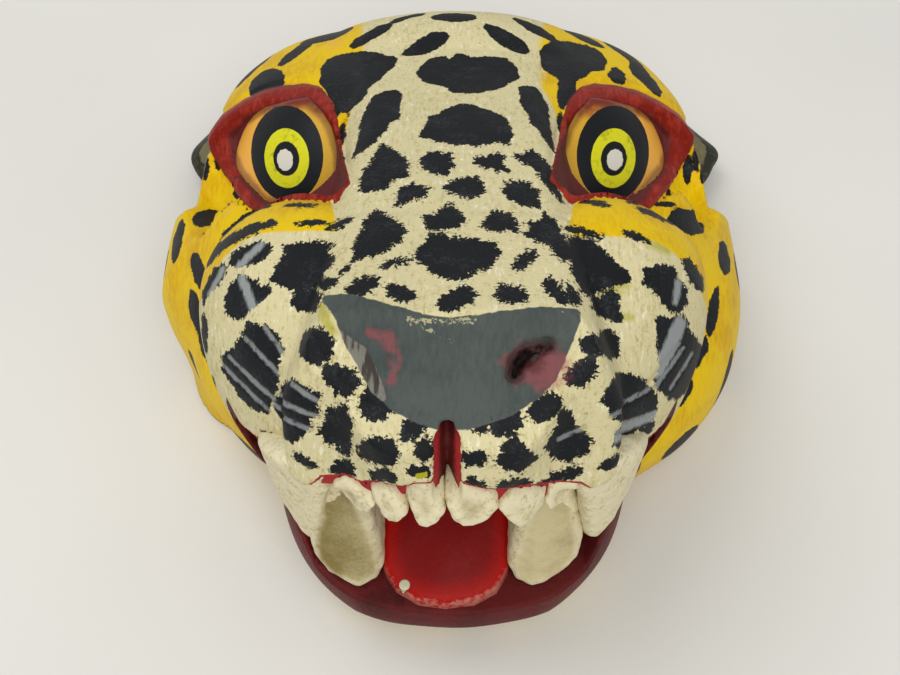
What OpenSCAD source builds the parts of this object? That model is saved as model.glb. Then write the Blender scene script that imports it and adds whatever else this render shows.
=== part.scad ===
// Carved and painted mask of a spotted beast, lying on its back with the nose up.
// +X is the viewer's right, +Y runs up the face to the crown, +Z runs out to the nose.
// The origin is on the flat back, at the middle of the mask's box.

/* [Skull] */
// Half width of the skull at the temples
skull_half_w = 57; // [54:0.5:59]
// Reach of the crown above the middle of the skull
crown_reach = 71.5; // [68:0.5:74]
// Slope of the forehead and nose bridge, in degrees
bridge_slope = 19.5; // [17:0.5:22]
// Half width of the nose bridge
bridge_half_w = 18.5; // [16:0.5:20]
// Squareness of the dome, 2 is round
dome_square = 3.5; // [3:0.1:4]

/* [Cheeks and jaw] */
// Half width across the cheeks
cheek_half_w = 61; // [58:0.5:62]
// Reach of the cheeks down the face
cheek_reach = 51; // [48:0.5:53]
// Half width of the lower jaw
jaw_half_w = 33; // [31:0.5:35]
// Reach of the lower jaw below its middle
jaw_reach = 33; // [32:0.5:34]
// Height of the lower lip above the back
jaw_top_z = 20; // [19:0.5:21]

/* [Muzzle] */
// Height of the nose tip above the back
nose_tip_z = 80; // [78:0.5:82]
// Distance of the nose tip down the face
nose_tip_y = 46; // [44:0.5:48]
// Half width of the nose pad
nose_half_w = 20; // [18:0.5:22]
// Distance of each whisker puff from the middle
puff_x = 19.5; // [18:0.5:21]
// Height of the upper lip at the middle
lip_mid_z = 63; // [62:0.5:64]
// Fall of the upper lip for each millimetre sideways
lip_fall = 0.6; // [0.55:0.05:0.65]

/* [Eyes] */
// Distance of each eye from the middle
eye_x = 33.5; // [32:0.5:35]
// Turn of each eye outwards, in degrees
eye_turn = 37; // [34:1:40]
// Tilt of each eye down the face, in degrees
eye_tilt = 19; // [16:1:22]
// Radius of the bulging front of the eye
eye_bulge_r = 30; // [26:1:36]

/* [Ears] */
// Distance of each ear's tip from the middle
ear_tip_x = 64; // [63:0.5:67]
// Diameter of the peg that holds each ear
ear_peg_d = 4; // [3:0.5:5]

/* [Hollow back] */
// Half width of the hollow
hollow_half_w = 45; // [40:1:46]
// Depth of the hollow
hollow_depth = 34; // [28:1:35]

/* [Hidden] */
INCISORS = 6;

yellow = "#d9b321";
cream = "#d9cda2";
red = "#b3261e";
slate = "#565f63";
amber = "#e0a050";
bare_wood = "#c49a6c";

// The carving is drawn about the skull, then moved so that the origin is under its box
box_mid_y = 3.75;
// The face leans this far to the right
lean = 0.5;

// Middles of the masses along the face, and the eyes' place
skull_y = 6;
cheek_y = 5;
// How much slimmer the viewer's left cheek gets over cheek_slim_y below the middle
cheek_slim = 0.07;
cheek_slim_y = 14;
// Height of the low peak in the middle of the crown, where it is, and its half sizes
crown_peak = 2.6;
crown_peak_y = 64;
crown_peak_half_w = 26;
crown_peak_half_l = 14.5;
// How far the middle of the chin is cut flat, and the cut's half width
chin_flat = 1;
chin_flat_half_w = 18;
jaw_y = -37;
hollow_y = 14;
hollow_half_l = 47;
// The widest ring of the hollow lies this far below the back, so that the rim is cut clean
hollow_sunk = 2;
eye_y = 19;
eye_z = 43;

// The floor of the mouth is flat in the middle and rises to the corners
mouth_back_y = -34;
floor_flat = 24;
floor_rise = 1.25;

// Upper incisors from the viewer's left to right: roots, tips and widths
incisor_root = [[-17, -59, 54], [-10.5, -62.5, 58], [-4, -64, 60],
                [3.8, -64, 60], [11.8, -62, 57], [18, -58, 53]];
incisor_tip = [[-15, -64.5, 50], [-9.8, -67, 53], [-3.9, -68.5, 54],
               [3.5, -68.5, 54], [11.6, -66.5, 53], [17.2, -63.5, 50]];
incisor_w = [6, 7.5, 7, 8.5, 8.5, 6];
// Facets round the corners of the teeth and of the ears
tooth_fn = 12;
leaf_fn = 16;

// Steps of the carved skin round the face and up it, and of the hollow
turns = 92;
wall_rows = 4;
dome_rows = 32;
hollow_rows = 7;
// The point inside the head that the skin is measured from, and the steps towards it
core = [lean, -4, 16];
far = 100;
near = 14;
stride = 4;
halvings = 6;
up = [0, 0, 1];

// ---- Blending of solids by their distance functions ----

function clamp01(t) = t < 0 ? 0 : t > 1 ? 1 : t;

// 1 where t is 0, falling to 0 where t is w to either side
function hump(t, w) = clamp01(1 - pow(t / w, 2));

// Union of two distances with a fillet of size k
function blend(a, b, k) =
    let (h = clamp01(0.5 + 0.5 * (b - a) / k))
    b + (a - b) * h - k * h * (1 - h);

// Intersection of two distances with a rounding of size k
function trim(a, b, k) = -blend(-a, -b, k);

// Point p seen from centre c, turned by yaw about Z and then tilted about X
function local(p, c, yaw = 0, tilt = 0) =
    let (
        q = p - c,
        x = cos(yaw) * q.x + sin(yaw) * q.y,
        t = cos(yaw) * q.y - sin(yaw) * q.x
    )
    [x, cos(tilt) * t + sin(tilt) * q.z, cos(tilt) * q.z - sin(tilt) * t];

// Distance to an egg of half sizes r, whose squareness is n
function egg(q, r, n) =
    (pow(pow(abs(q.x) / r.x, n) + pow(abs(q.y) / r.y, n) + pow(abs(q.z) / r.z, n), 1 / n) - 1)
    * min(r.x, r.y, r.z);

// Distance to a block of half sizes h with edges rounded by e
function block(q, h, e) =
    let (
        d = [abs(q.x) - h.x + e, abs(q.y) - h.y + e, abs(q.z) - h.z + e],
        outside = [max(d.x, 0), max(d.y, 0), max(d.z, 0)]
    )
    norm(outside) + min(max(d.x, d.y, d.z), 0) - e;

// ---- The masses of the face, each as the distance from a point ----

// Height above the line that runs from the nose tip to the crown
function above_bridge(p) =
    sin(bridge_slope) * (p.y + nose_tip_y) + cos(bridge_slope) * (p.z - nose_tip_z);

// Middle of a block of half depth h whose top lies along that line at y
function under_bridge(y, h) =
    [lean, y, nose_tip_z - (h + sin(bridge_slope) * (y + nose_tip_y)) / cos(bridge_slope)];

function skull(p) =
    let (
        y = p.y < skull_y ? (p.y - skull_y) * 2.3 : p.y - skull_y,
        dome = egg([p.x - lean, y, p.z + 6], [skull_half_w, crown_reach, 60], dome_square),
        peak = crown_peak * hump(p.x - lean, crown_peak_half_w) * hump(p.y - crown_peak_y, crown_peak_half_l)
    )
    trim(dome, above_bridge(p) + 0.5 + 0.003 * p.x * p.x, 8) - peak;

// The cheeks end upwards in a flat shelf below the eyes
function cheeks(p) =
    let (
        y = p.y < cheek_y ? p.y - cheek_y : (p.y - cheek_y) / 2,
        slim = p.x < 0 ? 1 + cheek_slim * clamp01(-p.y / cheek_slim_y) : 1,
        mass = egg([(p.x - lean) * slim, y, p.z - 18], [cheek_half_w, cheek_reach, 34], 2.1),
        shelf = 0.86 * p.y + 0.51 * p.z - 30
    )
    trim(mass, shelf, 2);

// The bridge widens down its drafted sides and sinks into the dome at its top end
function bridge(p) =
    let (
        q = local(p, under_bridge(-8, 16), tilt = -bridge_slope),
        wide = bridge_half_w + 0.04 * max(0, -p.y) + min(6, 0.4 * max(0, 16 - q.z)),
        sink = 0.004 * pow(max(0, p.y - 15), 2)
    )
    block([q.x * bridge_half_w / wide, q.y, q.z + sink], [bridge_half_w, 52, 16], 4);

function jaw(p) =
    let (flat = chin_flat * hump(p.x - lean, chin_flat_half_w) * clamp01((jaw_y - p.y) / jaw_reach * 2))
    egg([p.x - lean, p.y - jaw_y, p.z - 18], [jaw_half_w, jaw_reach, 24], 2.2) + flat;

// One whisker puff, a long egg that runs down and in towards the lip
function puff(p, side) =
    egg(local(p, [lean + side * puff_x, -30.5, 42], yaw = -side * 39), [21, 33, 29], 2.2);

function muzzle(p) =
    let (middle = egg(local(p, [lean, -34, 44], tilt = -10), [24, 36, 29], 2.4))
    blend(blend(middle, puff(p, -1), 3), puff(p, 1), 3);

// Height above the slanted face of the nose pad
function above_pad(p) = -0.5 * (p.y + nose_tip_y) + 0.866 * (p.z - nose_tip_z);

// The block that carries the nose pad, narrowing to the lip
function nose(p) =
    let (
        q = local(p, under_bridge(-42, 12), tilt = -bridge_slope),
        wide = nose_half_w + min(5, 0.35 * max(0, 12 - q.z)),
        taper = 0.7 * (abs(p.x - lean) - wide - (p.y + 50))
    )
    trim(block([q.x * nose_half_w / wide, q.y, q.z], [nose_half_w, 22, 12], 3), taper, 2);

// Point p in the frame of one eye: outwards, up the face, out of the face
function eye_frame(p, side) =
    let (
        q = [side * p.x - eye_x, p.y - eye_y, p.z - eye_z],
        u = cos(eye_turn) * q.x - sin(eye_turn) * q.z,
        t = sin(eye_turn) * q.x + cos(eye_turn) * q.z
    )
    [u, cos(eye_tilt) * q.y + sin(eye_tilt) * t, cos(eye_tilt) * t - sin(eye_tilt) * q.y];

// The open lids: two arcs that cross at the outer corner, cut short at the inner one
lid_low_arc = [3, -12, 28];
lid_high_arc = [-1, 15, 27.5];
lid_inner = 15;
function almond(q) =
    max(
        norm([q.x - lid_low_arc.x, q.y - lid_low_arc.y]) - lid_low_arc.z,
        norm([q.x - lid_high_arc.x, q.y - lid_high_arc.y]) - lid_high_arc.z,
        -lid_inner - q.x
    );

function socket(p, side) =
    let (q = eye_frame(p, side))
    max(trim(almond(q) - 0.5 * q.z, -q.z - 1.5, 1.5), q.z - 12);

function skin(p) =
    let (
        side = p.x < lean ? -1 : 1,
        face = max(blend(skull(p), cheeks(p), 1.5), -socket(p, side)),
        raised = blend(blend(face, bridge(p), 3), jaw(p), 4),
        whole = blend(blend(raised, muzzle(p), 1.2), nose(p), 1.5)
    )
    p.z > 68 ? max(whole, above_pad(p)) : whole;

// ---- The carved skin as rings of points ----

// Where a ray from a point meets the skin, stepping in from far outside
function reach(from, way, r = far) =
    r <= near ? near :
    skin(from + (r - stride) * way) < 0 ? settle(from, way, r - stride, r, halvings) :
    reach(from, way, r - stride);

function settle(from, way, low, high, steps) =
    let (mid = (low + high) / 2)
    steps == 0 ? mid :
    skin(from + mid * way) < 0 ? settle(from, way, mid, high, steps - 1) :
    settle(from, way, low, mid, steps - 1);

function wall_ring(row) =
    [for (i = [0:turns - 1])
        let (
            a = 360 * i / turns,
            from = [core.x, core.y, core.z * row / wall_rows],
            way = [cos(a), sin(a), 0]
        )
        from + reach(from, way) * way];

function dome_ring(row) =
    let (rise = 90 * row / (dome_rows + 1))
    [for (i = [0:turns - 1])
        let (a = 360 * i / turns, way = [cos(rise) * cos(a), cos(rise) * sin(a), sin(rise)])
        core + reach(core, way) * way];

function hollow_ring(row) =
    let (rise = 90 * row / (hollow_rows + 0.5))
    [for (i = [0:turns - 1])
        let (a = 360 * i / turns)
        [
            lean + hollow_half_w * cos(rise) * cos(a),
            hollow_y + hollow_half_l * cos(rise) * sin(a),
            (hollow_depth + hollow_sunk) * sin(rise) - hollow_sunk
        ]];

// A closed solid through rings of equal length, with a point at each end
module rings_solid(rings, top, bottom) {
    n = len(rings[0]);
    last = len(rings) - 1;
    points = concat([for (r = rings) each r], [top, bottom]);
    sides = [for (k = [0:last - 1], i = [0:n - 1])
        let (a = k * n + i, b = k * n + (i + 1) % n)
        each [[a, a + n, b + n], [a, b + n, b]]];
    cap = [for (i = [0:n - 1]) [last * n + i, len(points) - 2, last * n + (i + 1) % n]];
    base = [for (i = [0:n - 1]) [(i + 1) % n, len(points) - 1, i]];
    polyhedron(points, concat(sides, cap, base), convexity = 10);
}

// ---- The head block and what is cut from it ----

module carved_skin() {
    rings = [
        for (k = [0:wall_rows - 1]) wall_ring(k),
        for (k = [0:dome_rows]) dome_ring(k)
    ];
    rings_solid(rings, core + reach(core, up) * up, [core.x, core.y, 0]);
}

module hollow_back() {
    rings_solid([for (k = [0:hollow_rows]) hollow_ring(k)],
        [lean, hollow_y, hollow_depth], [lean, hollow_y, -hollow_sunk]);
}

// The open mouth: a wedge that runs straight in under the upper lip
module mouth_wedge() {
    corner_x = (lip_mid_z - jaw_top_z + floor_flat * floor_rise) / (lip_fall + floor_rise);
    corner_z = lip_mid_z - lip_fall * corner_x;
    translate([lean, mouth_back_y, 0])
        rotate([90, 0, 0])
            linear_extrude(60)
                polygon([
                    [-floor_flat, jaw_top_z], [floor_flat, jaw_top_z], [corner_x, corner_z],
                    [0, lip_mid_z], [-corner_x, corner_z]
                ]);
}

// The groove that splits the upper lip under the nose
module lip_groove() {
    translate([lean, -60, 66])
        rotate([25, 0, 0])
            linear_extrude(24, center = true)
                polygon([[-2.5, -10], [2.5, -10], [0.5, 1], [-0.5, 1]]);
}

module nostrils() {
    for (side = [-1, 1])
        translate([lean + side * 12, -54, 77])
            sphere(4, $fn = 20);
}

module head() {
    color(yellow)
        placed()
            resize([0, 0, 0])
                difference() {
                    carved_skin();
                    hollow_back();
                    mouth_wedge();
                    lip_groove();
                    nostrils();
                    let_in_pieces();
                }
}

// The outer shapes of every piece that is let into the head
module let_in_pieces() {
    for (side = [-1, 1]) {
        ear_leaf(side);
        ear_peg_rod(side);
        eye_lens(side);
        upper_canine_shape(side);
        lower_canine_shape(side);
    }
    for (i = [0:INCISORS - 1])
        incisor_shape(i);
    tongue_shape();
    nail_shape();
}

// ---- Eyes, ears, teeth and tongue ----

// An inset eye: a shallow dome whose rim follows the lids
module eye_lens(side) {
    translate([side * eye_x, eye_y, eye_z])
        rotate([0, side * eye_turn, 0])
            rotate([eye_tilt, 0, 0])
                intersection() {
                    translate([-side, 1, 3.5 - eye_bulge_r])
                        sphere(eye_bulge_r, $fn = 64);
                    translate([0, 0, -5])
                        linear_extrude(12)
                            lid_opening(side);
                }
}

module lid_opening(side) {
    intersection() {
        translate([side * lid_low_arc.x, lid_low_arc.y])
            circle(lid_low_arc.z, $fn = 64);
        translate([side * lid_high_arc.x, lid_high_arc.y])
            circle(lid_high_arc.z, $fn = 64);
        translate([side * (40 - lid_inner), 0])
            square(80, center = true);
    }
}

// An ear: a leaf that stands out from the side of the skull
module ear_leaf(side) {
    hull() {
        translate([lean + side * 53, 37, 7])
            sphere(3, $fn = leaf_fn);
        translate([lean + side * 51, 70, 8])
            sphere(3, $fn = leaf_fn);
        translate([lean + side * 51, 53, 19])
            sphere(3, $fn = leaf_fn);
        translate([lean + side * (ear_tip_x - 1.5), 54, 7.5])
            sphere(1.5, $fn = leaf_fn);
    }
}

module ear_peg_rod(side) {
    translate([lean + side * 46, 53, 9])
        rotate([0, side * 90, 0])
            cylinder(d = ear_peg_d, h = 10, $fn = 32);
}

// A tooth from its root down to its tip: w is its width and d its thickness
module tooth(root, tip, w, d, blunt) {
    along_lip = atan2(root.y, root.x) + 90;
    across = [cos(along_lip), sin(along_lip), 0] * (w - d) / 2;
    hull() {
        translate(root + across)
            sphere(d / 2, $fn = tooth_fn);
        translate(root - across)
            sphere(d / 2, $fn = tooth_fn);
        translate(tip)
            sphere(blunt, $fn = tooth_fn);
    }
}

module incisor_shape(i) {
    tooth(incisor_root[i], incisor_tip[i], incisor_w[i], 5, 1.3);
}

module upper_canine_shape(side) {
    tooth([side * 26.5, -48, 45], [side * 25.7, -57.5, 28], 13, 8.5, 1.3);
}

module lower_canine_shape(side) {
    hull() {
        translate([side * 21, -60.5, 21])
            sphere(3, $fn = tooth_fn);
        translate([side * 14.5, -63, 21])
            sphere(3, $fn = tooth_fn);
        translate([side * 17, -53, 21])
            sphere(3, $fn = tooth_fn);
        translate([side * 16.5, -58.5, 47])
            sphere(1.8, $fn = tooth_fn);
    }
}

// The tongue lies on the floor of the mouth, highest behind its tip
module tongue_shape() {
    hull() {
        for (side = [-1, 1]) {
            translate([side * 7.2, -63.4, 19.5])
                cylinder(r = 4, h = 4.5, $fn = 24);
            translate([side * 7.2, -52, 19.5])
                cylinder(r = 3, h = 9, $fn = 24);
        }
        translate([0, -41, 19.5])
            cylinder(r = 7, h = 6, $fn = 24);
    }
}

module nail_shape() {
    translate([-8.5, -64.9, 13]) {
        cylinder(d = 1.2, h = 11, $fn = 24);
        translate([0, 0, 10.8])
            cylinder(d = 2.4, h = 0.6, $fn = 24);
    }
}

// Moves the carving so that the origin is under the middle of its box
module placed() {
    translate([-lean, -box_mid_y, 0])
        children();
}

module ear(side) {
    color(slate)
        placed()
            difference() {
                ear_leaf(side);
                translate([lean + side * 61, 49, 19])
                    sphere(9, $fn = 48);
                ear_peg_rod(side);
            }
}

module ear_peg(side) {
    color(bare_wood)
        placed()
            ear_peg_rod(side);
}

module eye(side) {
    color(amber)
        placed()
            eye_lens(side);
}

module upper_incisor(i) {
    color(cream)
        placed()
            incisor_shape(i);
}

module upper_canine(side) {
    color(cream)
        placed()
            upper_canine_shape(side);
}

module lower_canine(side) {
    color(cream)
        placed()
            lower_canine_shape(side);
}

module tongue() {
    color(red)
        placed()
            difference() {
                tongue_shape();
                nail_shape();
            }
}

module tongue_nail() {
    color(cream)
        placed()
            nail_shape();
}

head();
ear(-1);  // ear_left
ear(1);  // ear_right
ear_peg(-1);  // ear_peg_left
ear_peg(1);  // ear_peg_right
eye(-1);  // eye_left
eye(1);  // eye_right
for (i = [1:INCISORS])
    upper_incisor(i - 1);
upper_canine(-1);  // upper_canine_left
upper_canine(1);  // upper_canine_right
lower_canine(-1);  // lower_canine_left
lower_canine(1);  // lower_canine_right
tongue();
tongue_nail();
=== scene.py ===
import math
from functools import reduce

import bpy
import numpy as np
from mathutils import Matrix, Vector


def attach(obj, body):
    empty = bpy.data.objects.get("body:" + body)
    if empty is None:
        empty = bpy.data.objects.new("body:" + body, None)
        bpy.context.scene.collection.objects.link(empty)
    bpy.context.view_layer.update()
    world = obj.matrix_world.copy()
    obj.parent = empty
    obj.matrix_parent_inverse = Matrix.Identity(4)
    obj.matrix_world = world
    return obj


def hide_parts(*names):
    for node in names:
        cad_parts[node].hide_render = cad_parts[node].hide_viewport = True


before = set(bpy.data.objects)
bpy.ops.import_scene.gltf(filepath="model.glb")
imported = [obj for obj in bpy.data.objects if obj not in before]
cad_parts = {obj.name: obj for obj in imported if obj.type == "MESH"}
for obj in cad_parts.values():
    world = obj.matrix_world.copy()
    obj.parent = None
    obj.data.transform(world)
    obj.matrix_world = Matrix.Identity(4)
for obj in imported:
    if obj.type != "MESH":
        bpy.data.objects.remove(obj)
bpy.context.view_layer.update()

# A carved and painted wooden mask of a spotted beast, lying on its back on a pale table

# All shapes are drawn in millimetres about the middle of the skull, as in the CAD source:
# +x to the viewer's right, +y up the face to the crown, +z out to the nose.
MM = 0.001
LEAN = 0.5
BOX_MID_Y = 3.75
SHIFT = np.array([-LEAN, -BOX_MID_Y, 0.0])

# Driving sizes of the face
SKULL_HALF_W = 57
CROWN_REACH = 71.5
SKULL_Y = 6
SKULL_MID_Z = -6
SKULL_HALF_H = 60
DOME_SQUARE = 3.5
# How much sooner the skull ends towards the jaw than towards the crown
SKULL_SHORT = 2.3
BROW_EDGE = 8
BRIDGE_SLOPE = 19.5
BRIDGE_HALF_W = 18.5
BRIDGE_HALF_L = 52
BRIDGE_HALF_H = 16
CHEEK_HALF_W = 61
CHEEK_REACH = 51
CHEEK_Y = 5
CHEEK_MID_Z = 18
CHEEK_HALF_H = 34
CHEEK_SQUARE = 2.1
# The plane that cuts the cheeks off below the brows: slopes in y and z, and the level
CHEEK_CUT = (0.86, 0.51, 30)
CHEEK_SLIM = 0.07
CHEEK_SLIM_Y = 14
CROWN_PEAK = 2.6
CROWN_PEAK_Y = 64
CROWN_PEAK_HALF_W = 26
CROWN_PEAK_HALF_L = 14.5
CHIN_FLAT = 1
CHIN_FLAT_HALF_W = 18
JAW_HALF_W = 33
JAW_REACH = 33
JAW_Y = -37
JAW_MID_Z = 18
JAW_HALF_H = 24
JAW_TOP_Z = 20
NOSE_TIP_Z = 80
NOSE_TIP_Y = 46
NOSE_HALF_W = 20
NOSE_HALF_L = 22
NOSE_HALF_H = 12
# Cosine and sine of the nose pad's slope
PAD_COS, PAD_SIN = 0.866, 0.5
MUZZLE_MIDDLE = (LEAN, -34, 44)
MUZZLE_TILT = -10
MUZZLE_SIZE = (24, 36, 29)
PUFF_X = 19.5
PUFF_Y = -30.5
PUFF_Z = 42
PUFF_TURN = 39
PUFF_SIZE = (21, 33, 29)
LIP_MID_Z = 63
LIP_FALL = 0.6
EYE = (33.5, 19, 43)
EYE_TURN = 37
EYE_TILT = 19
EYE_BULGE_R = 30
MOUTH_BACK_Y = -34
FLOOR_FLAT = 24
FLOOR_RISE = 1.25
HOLLOW = (45, 47, 36)
HOLLOW_MIDDLE = (LEAN, 14, -2)

# Stands for a place far outside a painted zone
FAR = 9.0

# Grid step of the carved surfaces
HEAD_STEP = 0.68
SMALL_STEP = 0.3


# ---- Distances ----

def sind(a):
    return math.sin(math.radians(a))


def cosd(a):
    return math.cos(math.radians(a))


def most(*terms):
    """The greatest of the terms, place by place. Of distances: what lies in all the shapes."""
    return reduce(np.maximum, terms)


def least(*terms):
    """The least of the terms, place by place. Of distances: what lies in any of the shapes."""
    return reduce(np.minimum, terms)


def blend(a, b, k):
    """Union of two distances with a fillet of size k."""
    h = np.clip(0.5 + 0.5 * (b - a) / k, 0, 1)
    return b + (a - b) * h - k * h * (1 - h)


def trim(a, b, k):
    """Intersection of two distances with a rounding of size k."""
    return -blend(-a, -b, k)


def smooth(low, high, x):
    """0 below low, 1 above high, and a smooth step between."""
    t = np.clip((x - low) / (high - low), 0, 1)
    return t * t * (3 - 2 * t)


def hump(t, w):
    """1 where t is 0, falling to 0 where t is w to either side."""
    return np.clip(1 - (t / w) ** 2, 0, 1)


def tent(t, w):
    """1 where t is 0, falling in a straight line to 0 where t is w."""
    return np.clip(1 - t / w, 0, 1)


def local(p, c, yaw=0, tilt=0):
    """Point p seen from centre c, turned by yaw about z and then tilted about x."""
    x, y, z = p[0] - c[0], p[1] - c[1], p[2] - c[2]
    if yaw:
        x, y = cosd(yaw) * x + sind(yaw) * y, cosd(yaw) * y - sind(yaw) * x
    if tilt:
        y, z = cosd(tilt) * y + sind(tilt) * z, cosd(tilt) * z - sind(tilt) * y
    return x, y, z


def egg(q, r, n):
    """Distance to an egg of half sizes r, whose squareness is n."""
    total = sum(np.abs(a / b) ** n for a, b in zip(q, r))
    return (total ** (1 / n) - 1) * min(r)


def block(q, h, e):
    """Distance to a block of half sizes h with edges rounded by e."""
    d = [np.abs(a) - b + e for a, b in zip(q, h)]
    outside = np.sqrt(sum(most(a, 0) ** 2 for a in d))
    return outside + least(most(d[0], d[1], d[2]), 0) - e


def pairs(*numbers):
    """Points from a flat row of numbers."""
    return list(zip(numbers[::2], numbers[1::2]))


def outline(u, v, corners):
    """Signed distance from (u, v) to a closed outline, negative inside."""
    nearest = np.full(np.shape(u), 1e9)
    sign = np.ones(np.shape(u))
    for a, b in zip(corners, corners[-1:] + corners[:-1]):
        ex, ey = b[0] - a[0], b[1] - a[1]
        wx, wy = u - a[0], v - a[1]
        t = np.clip((wx * ex + wy * ey) / (ex * ex + ey * ey), 0, 1)
        nearest = least(nearest, (wx - ex * t) ** 2 + (wy - ey * t) ** 2)
        above, below, left = v >= a[1], v < b[1], ex * wy > ey * wx
        sign = np.where((above & below & left) | (~above & ~below & ~left), -sign, sign)
    return sign * np.sqrt(nearest)


def waves(p, size, seed, count=7):
    """Smooth unevenness between about -1 and 1, with bumps of about the given size."""
    rng = np.random.default_rng(seed)
    total = 0
    for _ in range(count):
        way = rng.normal(size=3)
        way *= math.pi / size / np.linalg.norm(way)
        total = total + np.sin(way[0] * p[0] + way[1] * p[1] + way[2] * p[2] + rng.uniform(0, 6.3))
    return total / count * 1.8


# ---- The head, as in the CAD source ----

def above_bridge(p):
    return sind(BRIDGE_SLOPE) * (p[1] + NOSE_TIP_Y) + cosd(BRIDGE_SLOPE) * (p[2] - NOSE_TIP_Z)


def under_bridge(y, h):
    drop = (h + sind(BRIDGE_SLOPE) * (y + NOSE_TIP_Y)) / cosd(BRIDGE_SLOPE)
    return LEAN, y, NOSE_TIP_Z - drop


def skull(p):
    y = np.where(p[1] < SKULL_Y, (p[1] - SKULL_Y) * SKULL_SHORT, p[1] - SKULL_Y)
    size = (SKULL_HALF_W, CROWN_REACH, SKULL_HALF_H)
    dome = egg((p[0] - LEAN, y, p[2] - SKULL_MID_Z), size, DOME_SQUARE)
    peak = CROWN_PEAK * hump(p[0] - LEAN, CROWN_PEAK_HALF_W)
    peak = peak * hump(p[1] - CROWN_PEAK_Y, CROWN_PEAK_HALF_L)
    return trim(dome, above_bridge(p) + 0.5 + 0.003 * p[0] ** 2, BROW_EDGE) - peak


def cheeks(p):
    y = np.where(p[1] < CHEEK_Y, p[1] - CHEEK_Y, (p[1] - CHEEK_Y) / 2)
    slim = 1 + CHEEK_SLIM * np.clip(-p[1] / CHEEK_SLIM_Y, 0, 1) * (p[0] < 0)
    size = (CHEEK_HALF_W, CHEEK_REACH, CHEEK_HALF_H)
    mass = egg(((p[0] - LEAN) * slim, y, p[2] - CHEEK_MID_Z), size, CHEEK_SQUARE)
    return trim(mass, CHEEK_CUT[0] * p[1] + CHEEK_CUT[1] * p[2] - CHEEK_CUT[2], 2)


def bridge(p):
    x, y, z = local(p, under_bridge(-8, BRIDGE_HALF_H), tilt=-BRIDGE_SLOPE)
    wide = BRIDGE_HALF_W + 0.04 * most(0, -p[1]) + np.clip(0.4 * (BRIDGE_HALF_H - z), 0, 6)
    sink = 0.004 * most(0, p[1] - 15) ** 2
    size = (BRIDGE_HALF_W, BRIDGE_HALF_L, BRIDGE_HALF_H)
    return block((x * BRIDGE_HALF_W / wide, y, z + sink), size, 4)


def jaw(p):
    front = np.clip((JAW_Y - p[1]) / JAW_REACH * 2, 0, 1)
    flat = CHIN_FLAT * hump(p[0] - LEAN, CHIN_FLAT_HALF_W) * front
    size = (JAW_HALF_W, JAW_REACH, JAW_HALF_H)
    return egg((p[0] - LEAN, p[1] - JAW_Y, p[2] - JAW_MID_Z), size, 2.2) + flat


def puff(p, side):
    middle = (LEAN + side * PUFF_X, PUFF_Y, PUFF_Z)
    return egg(local(p, middle, yaw=-side * PUFF_TURN), PUFF_SIZE, 2.2)


def muzzle(p):
    middle = egg(local(p, MUZZLE_MIDDLE, tilt=MUZZLE_TILT), MUZZLE_SIZE, 2.4)
    return blend(blend(middle, puff(p, -1), 3), puff(p, 1), 3)


def above_pad(p):
    return -PAD_SIN * (p[1] + NOSE_TIP_Y) + PAD_COS * (p[2] - NOSE_TIP_Z)


def nose(p):
    x, y, z = local(p, under_bridge(-42, NOSE_HALF_H), tilt=-BRIDGE_SLOPE)
    wide = NOSE_HALF_W + np.clip(0.35 * (NOSE_HALF_H - z), 0, 5)
    taper = 0.7 * (np.abs(p[0] - LEAN) - wide - (p[1] + 50))
    size = (NOSE_HALF_W, NOSE_HALF_L, NOSE_HALF_H)
    return trim(block((x * NOSE_HALF_W / wide, y, z), size, 3), taper, 2)


def eye_frame(p, side):
    """Point p in the frame of one eye: outwards, up the face, out of the face."""
    x, y, z = side * p[0] - EYE[0], p[1] - EYE[1], p[2] - EYE[2]
    u = cosd(EYE_TURN) * x - sind(EYE_TURN) * z
    t = sind(EYE_TURN) * x + cosd(EYE_TURN) * z
    return u, cosd(EYE_TILT) * y + sind(EYE_TILT) * t, cosd(EYE_TILT) * t - sind(EYE_TILT) * y


def almond(q):
    low = np.hypot(q[0] - 3, q[1] + 12) - 28
    high = np.hypot(q[0] + 1, q[1] - 15) - 27.5
    return most(low, high, -15 - q[0])


def socket(p, side):
    q = eye_frame(p, side)
    return most(trim(almond(q) - 0.5 * q[2], -q[2] - 1.5, 1.5), q[2] - 12)


# The lids' outer edge, outwards and up from the middle of the eye
LIDS = pairs(21,16, 15,18.6, 9.3,18.9, 2.4,18.4, -3.4,16.8, -8.9,14.5, -12.3,12, -14.6,7, -14.8,1.8,
    -14,-6, -13.2,-14, -10.4,-16.6, -5,-16, 2,-12.8, 7,-9, 10.9,-5, 14.2,0.2, 16.8,4.3, 19,9.7)
# and their inner edge
LIDS_IN = pairs(12.5,12, 8.4,13.6, 2.6,13.2, -3.8,11.4, -7.9,9.9, -10.8,5, -12,1.5, -12.7,-3.5,
    -12,-10.5, -9.5,-12.4, -3.3,-10.8, 1.9,-8.8, 6.6,-5.6, 10.2,0.6, 12.2,4.4, 13.1,8.7)


def eye_plan(p, side):
    """Where p lies on the drawing of one eye. The drawing is laid on from the front of the face."""
    u, v, w = eye_frame(p, side)
    return u + 0.78 * w, v + 0.67 * w


def lids(p, edge):
    """Distance to one edge of the lids, negative within, for the nearer eye."""
    sides = []
    for side in (-1, 1):
        u, v = eye_plan(p, side)
        w = eye_frame(p, side)[2]
        sides.append(outline(u, v, edge) + 3 * most(0, np.abs(w - 3) - 13))
    return np.where(p[0] < 0, sides[0], sides[1])


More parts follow.
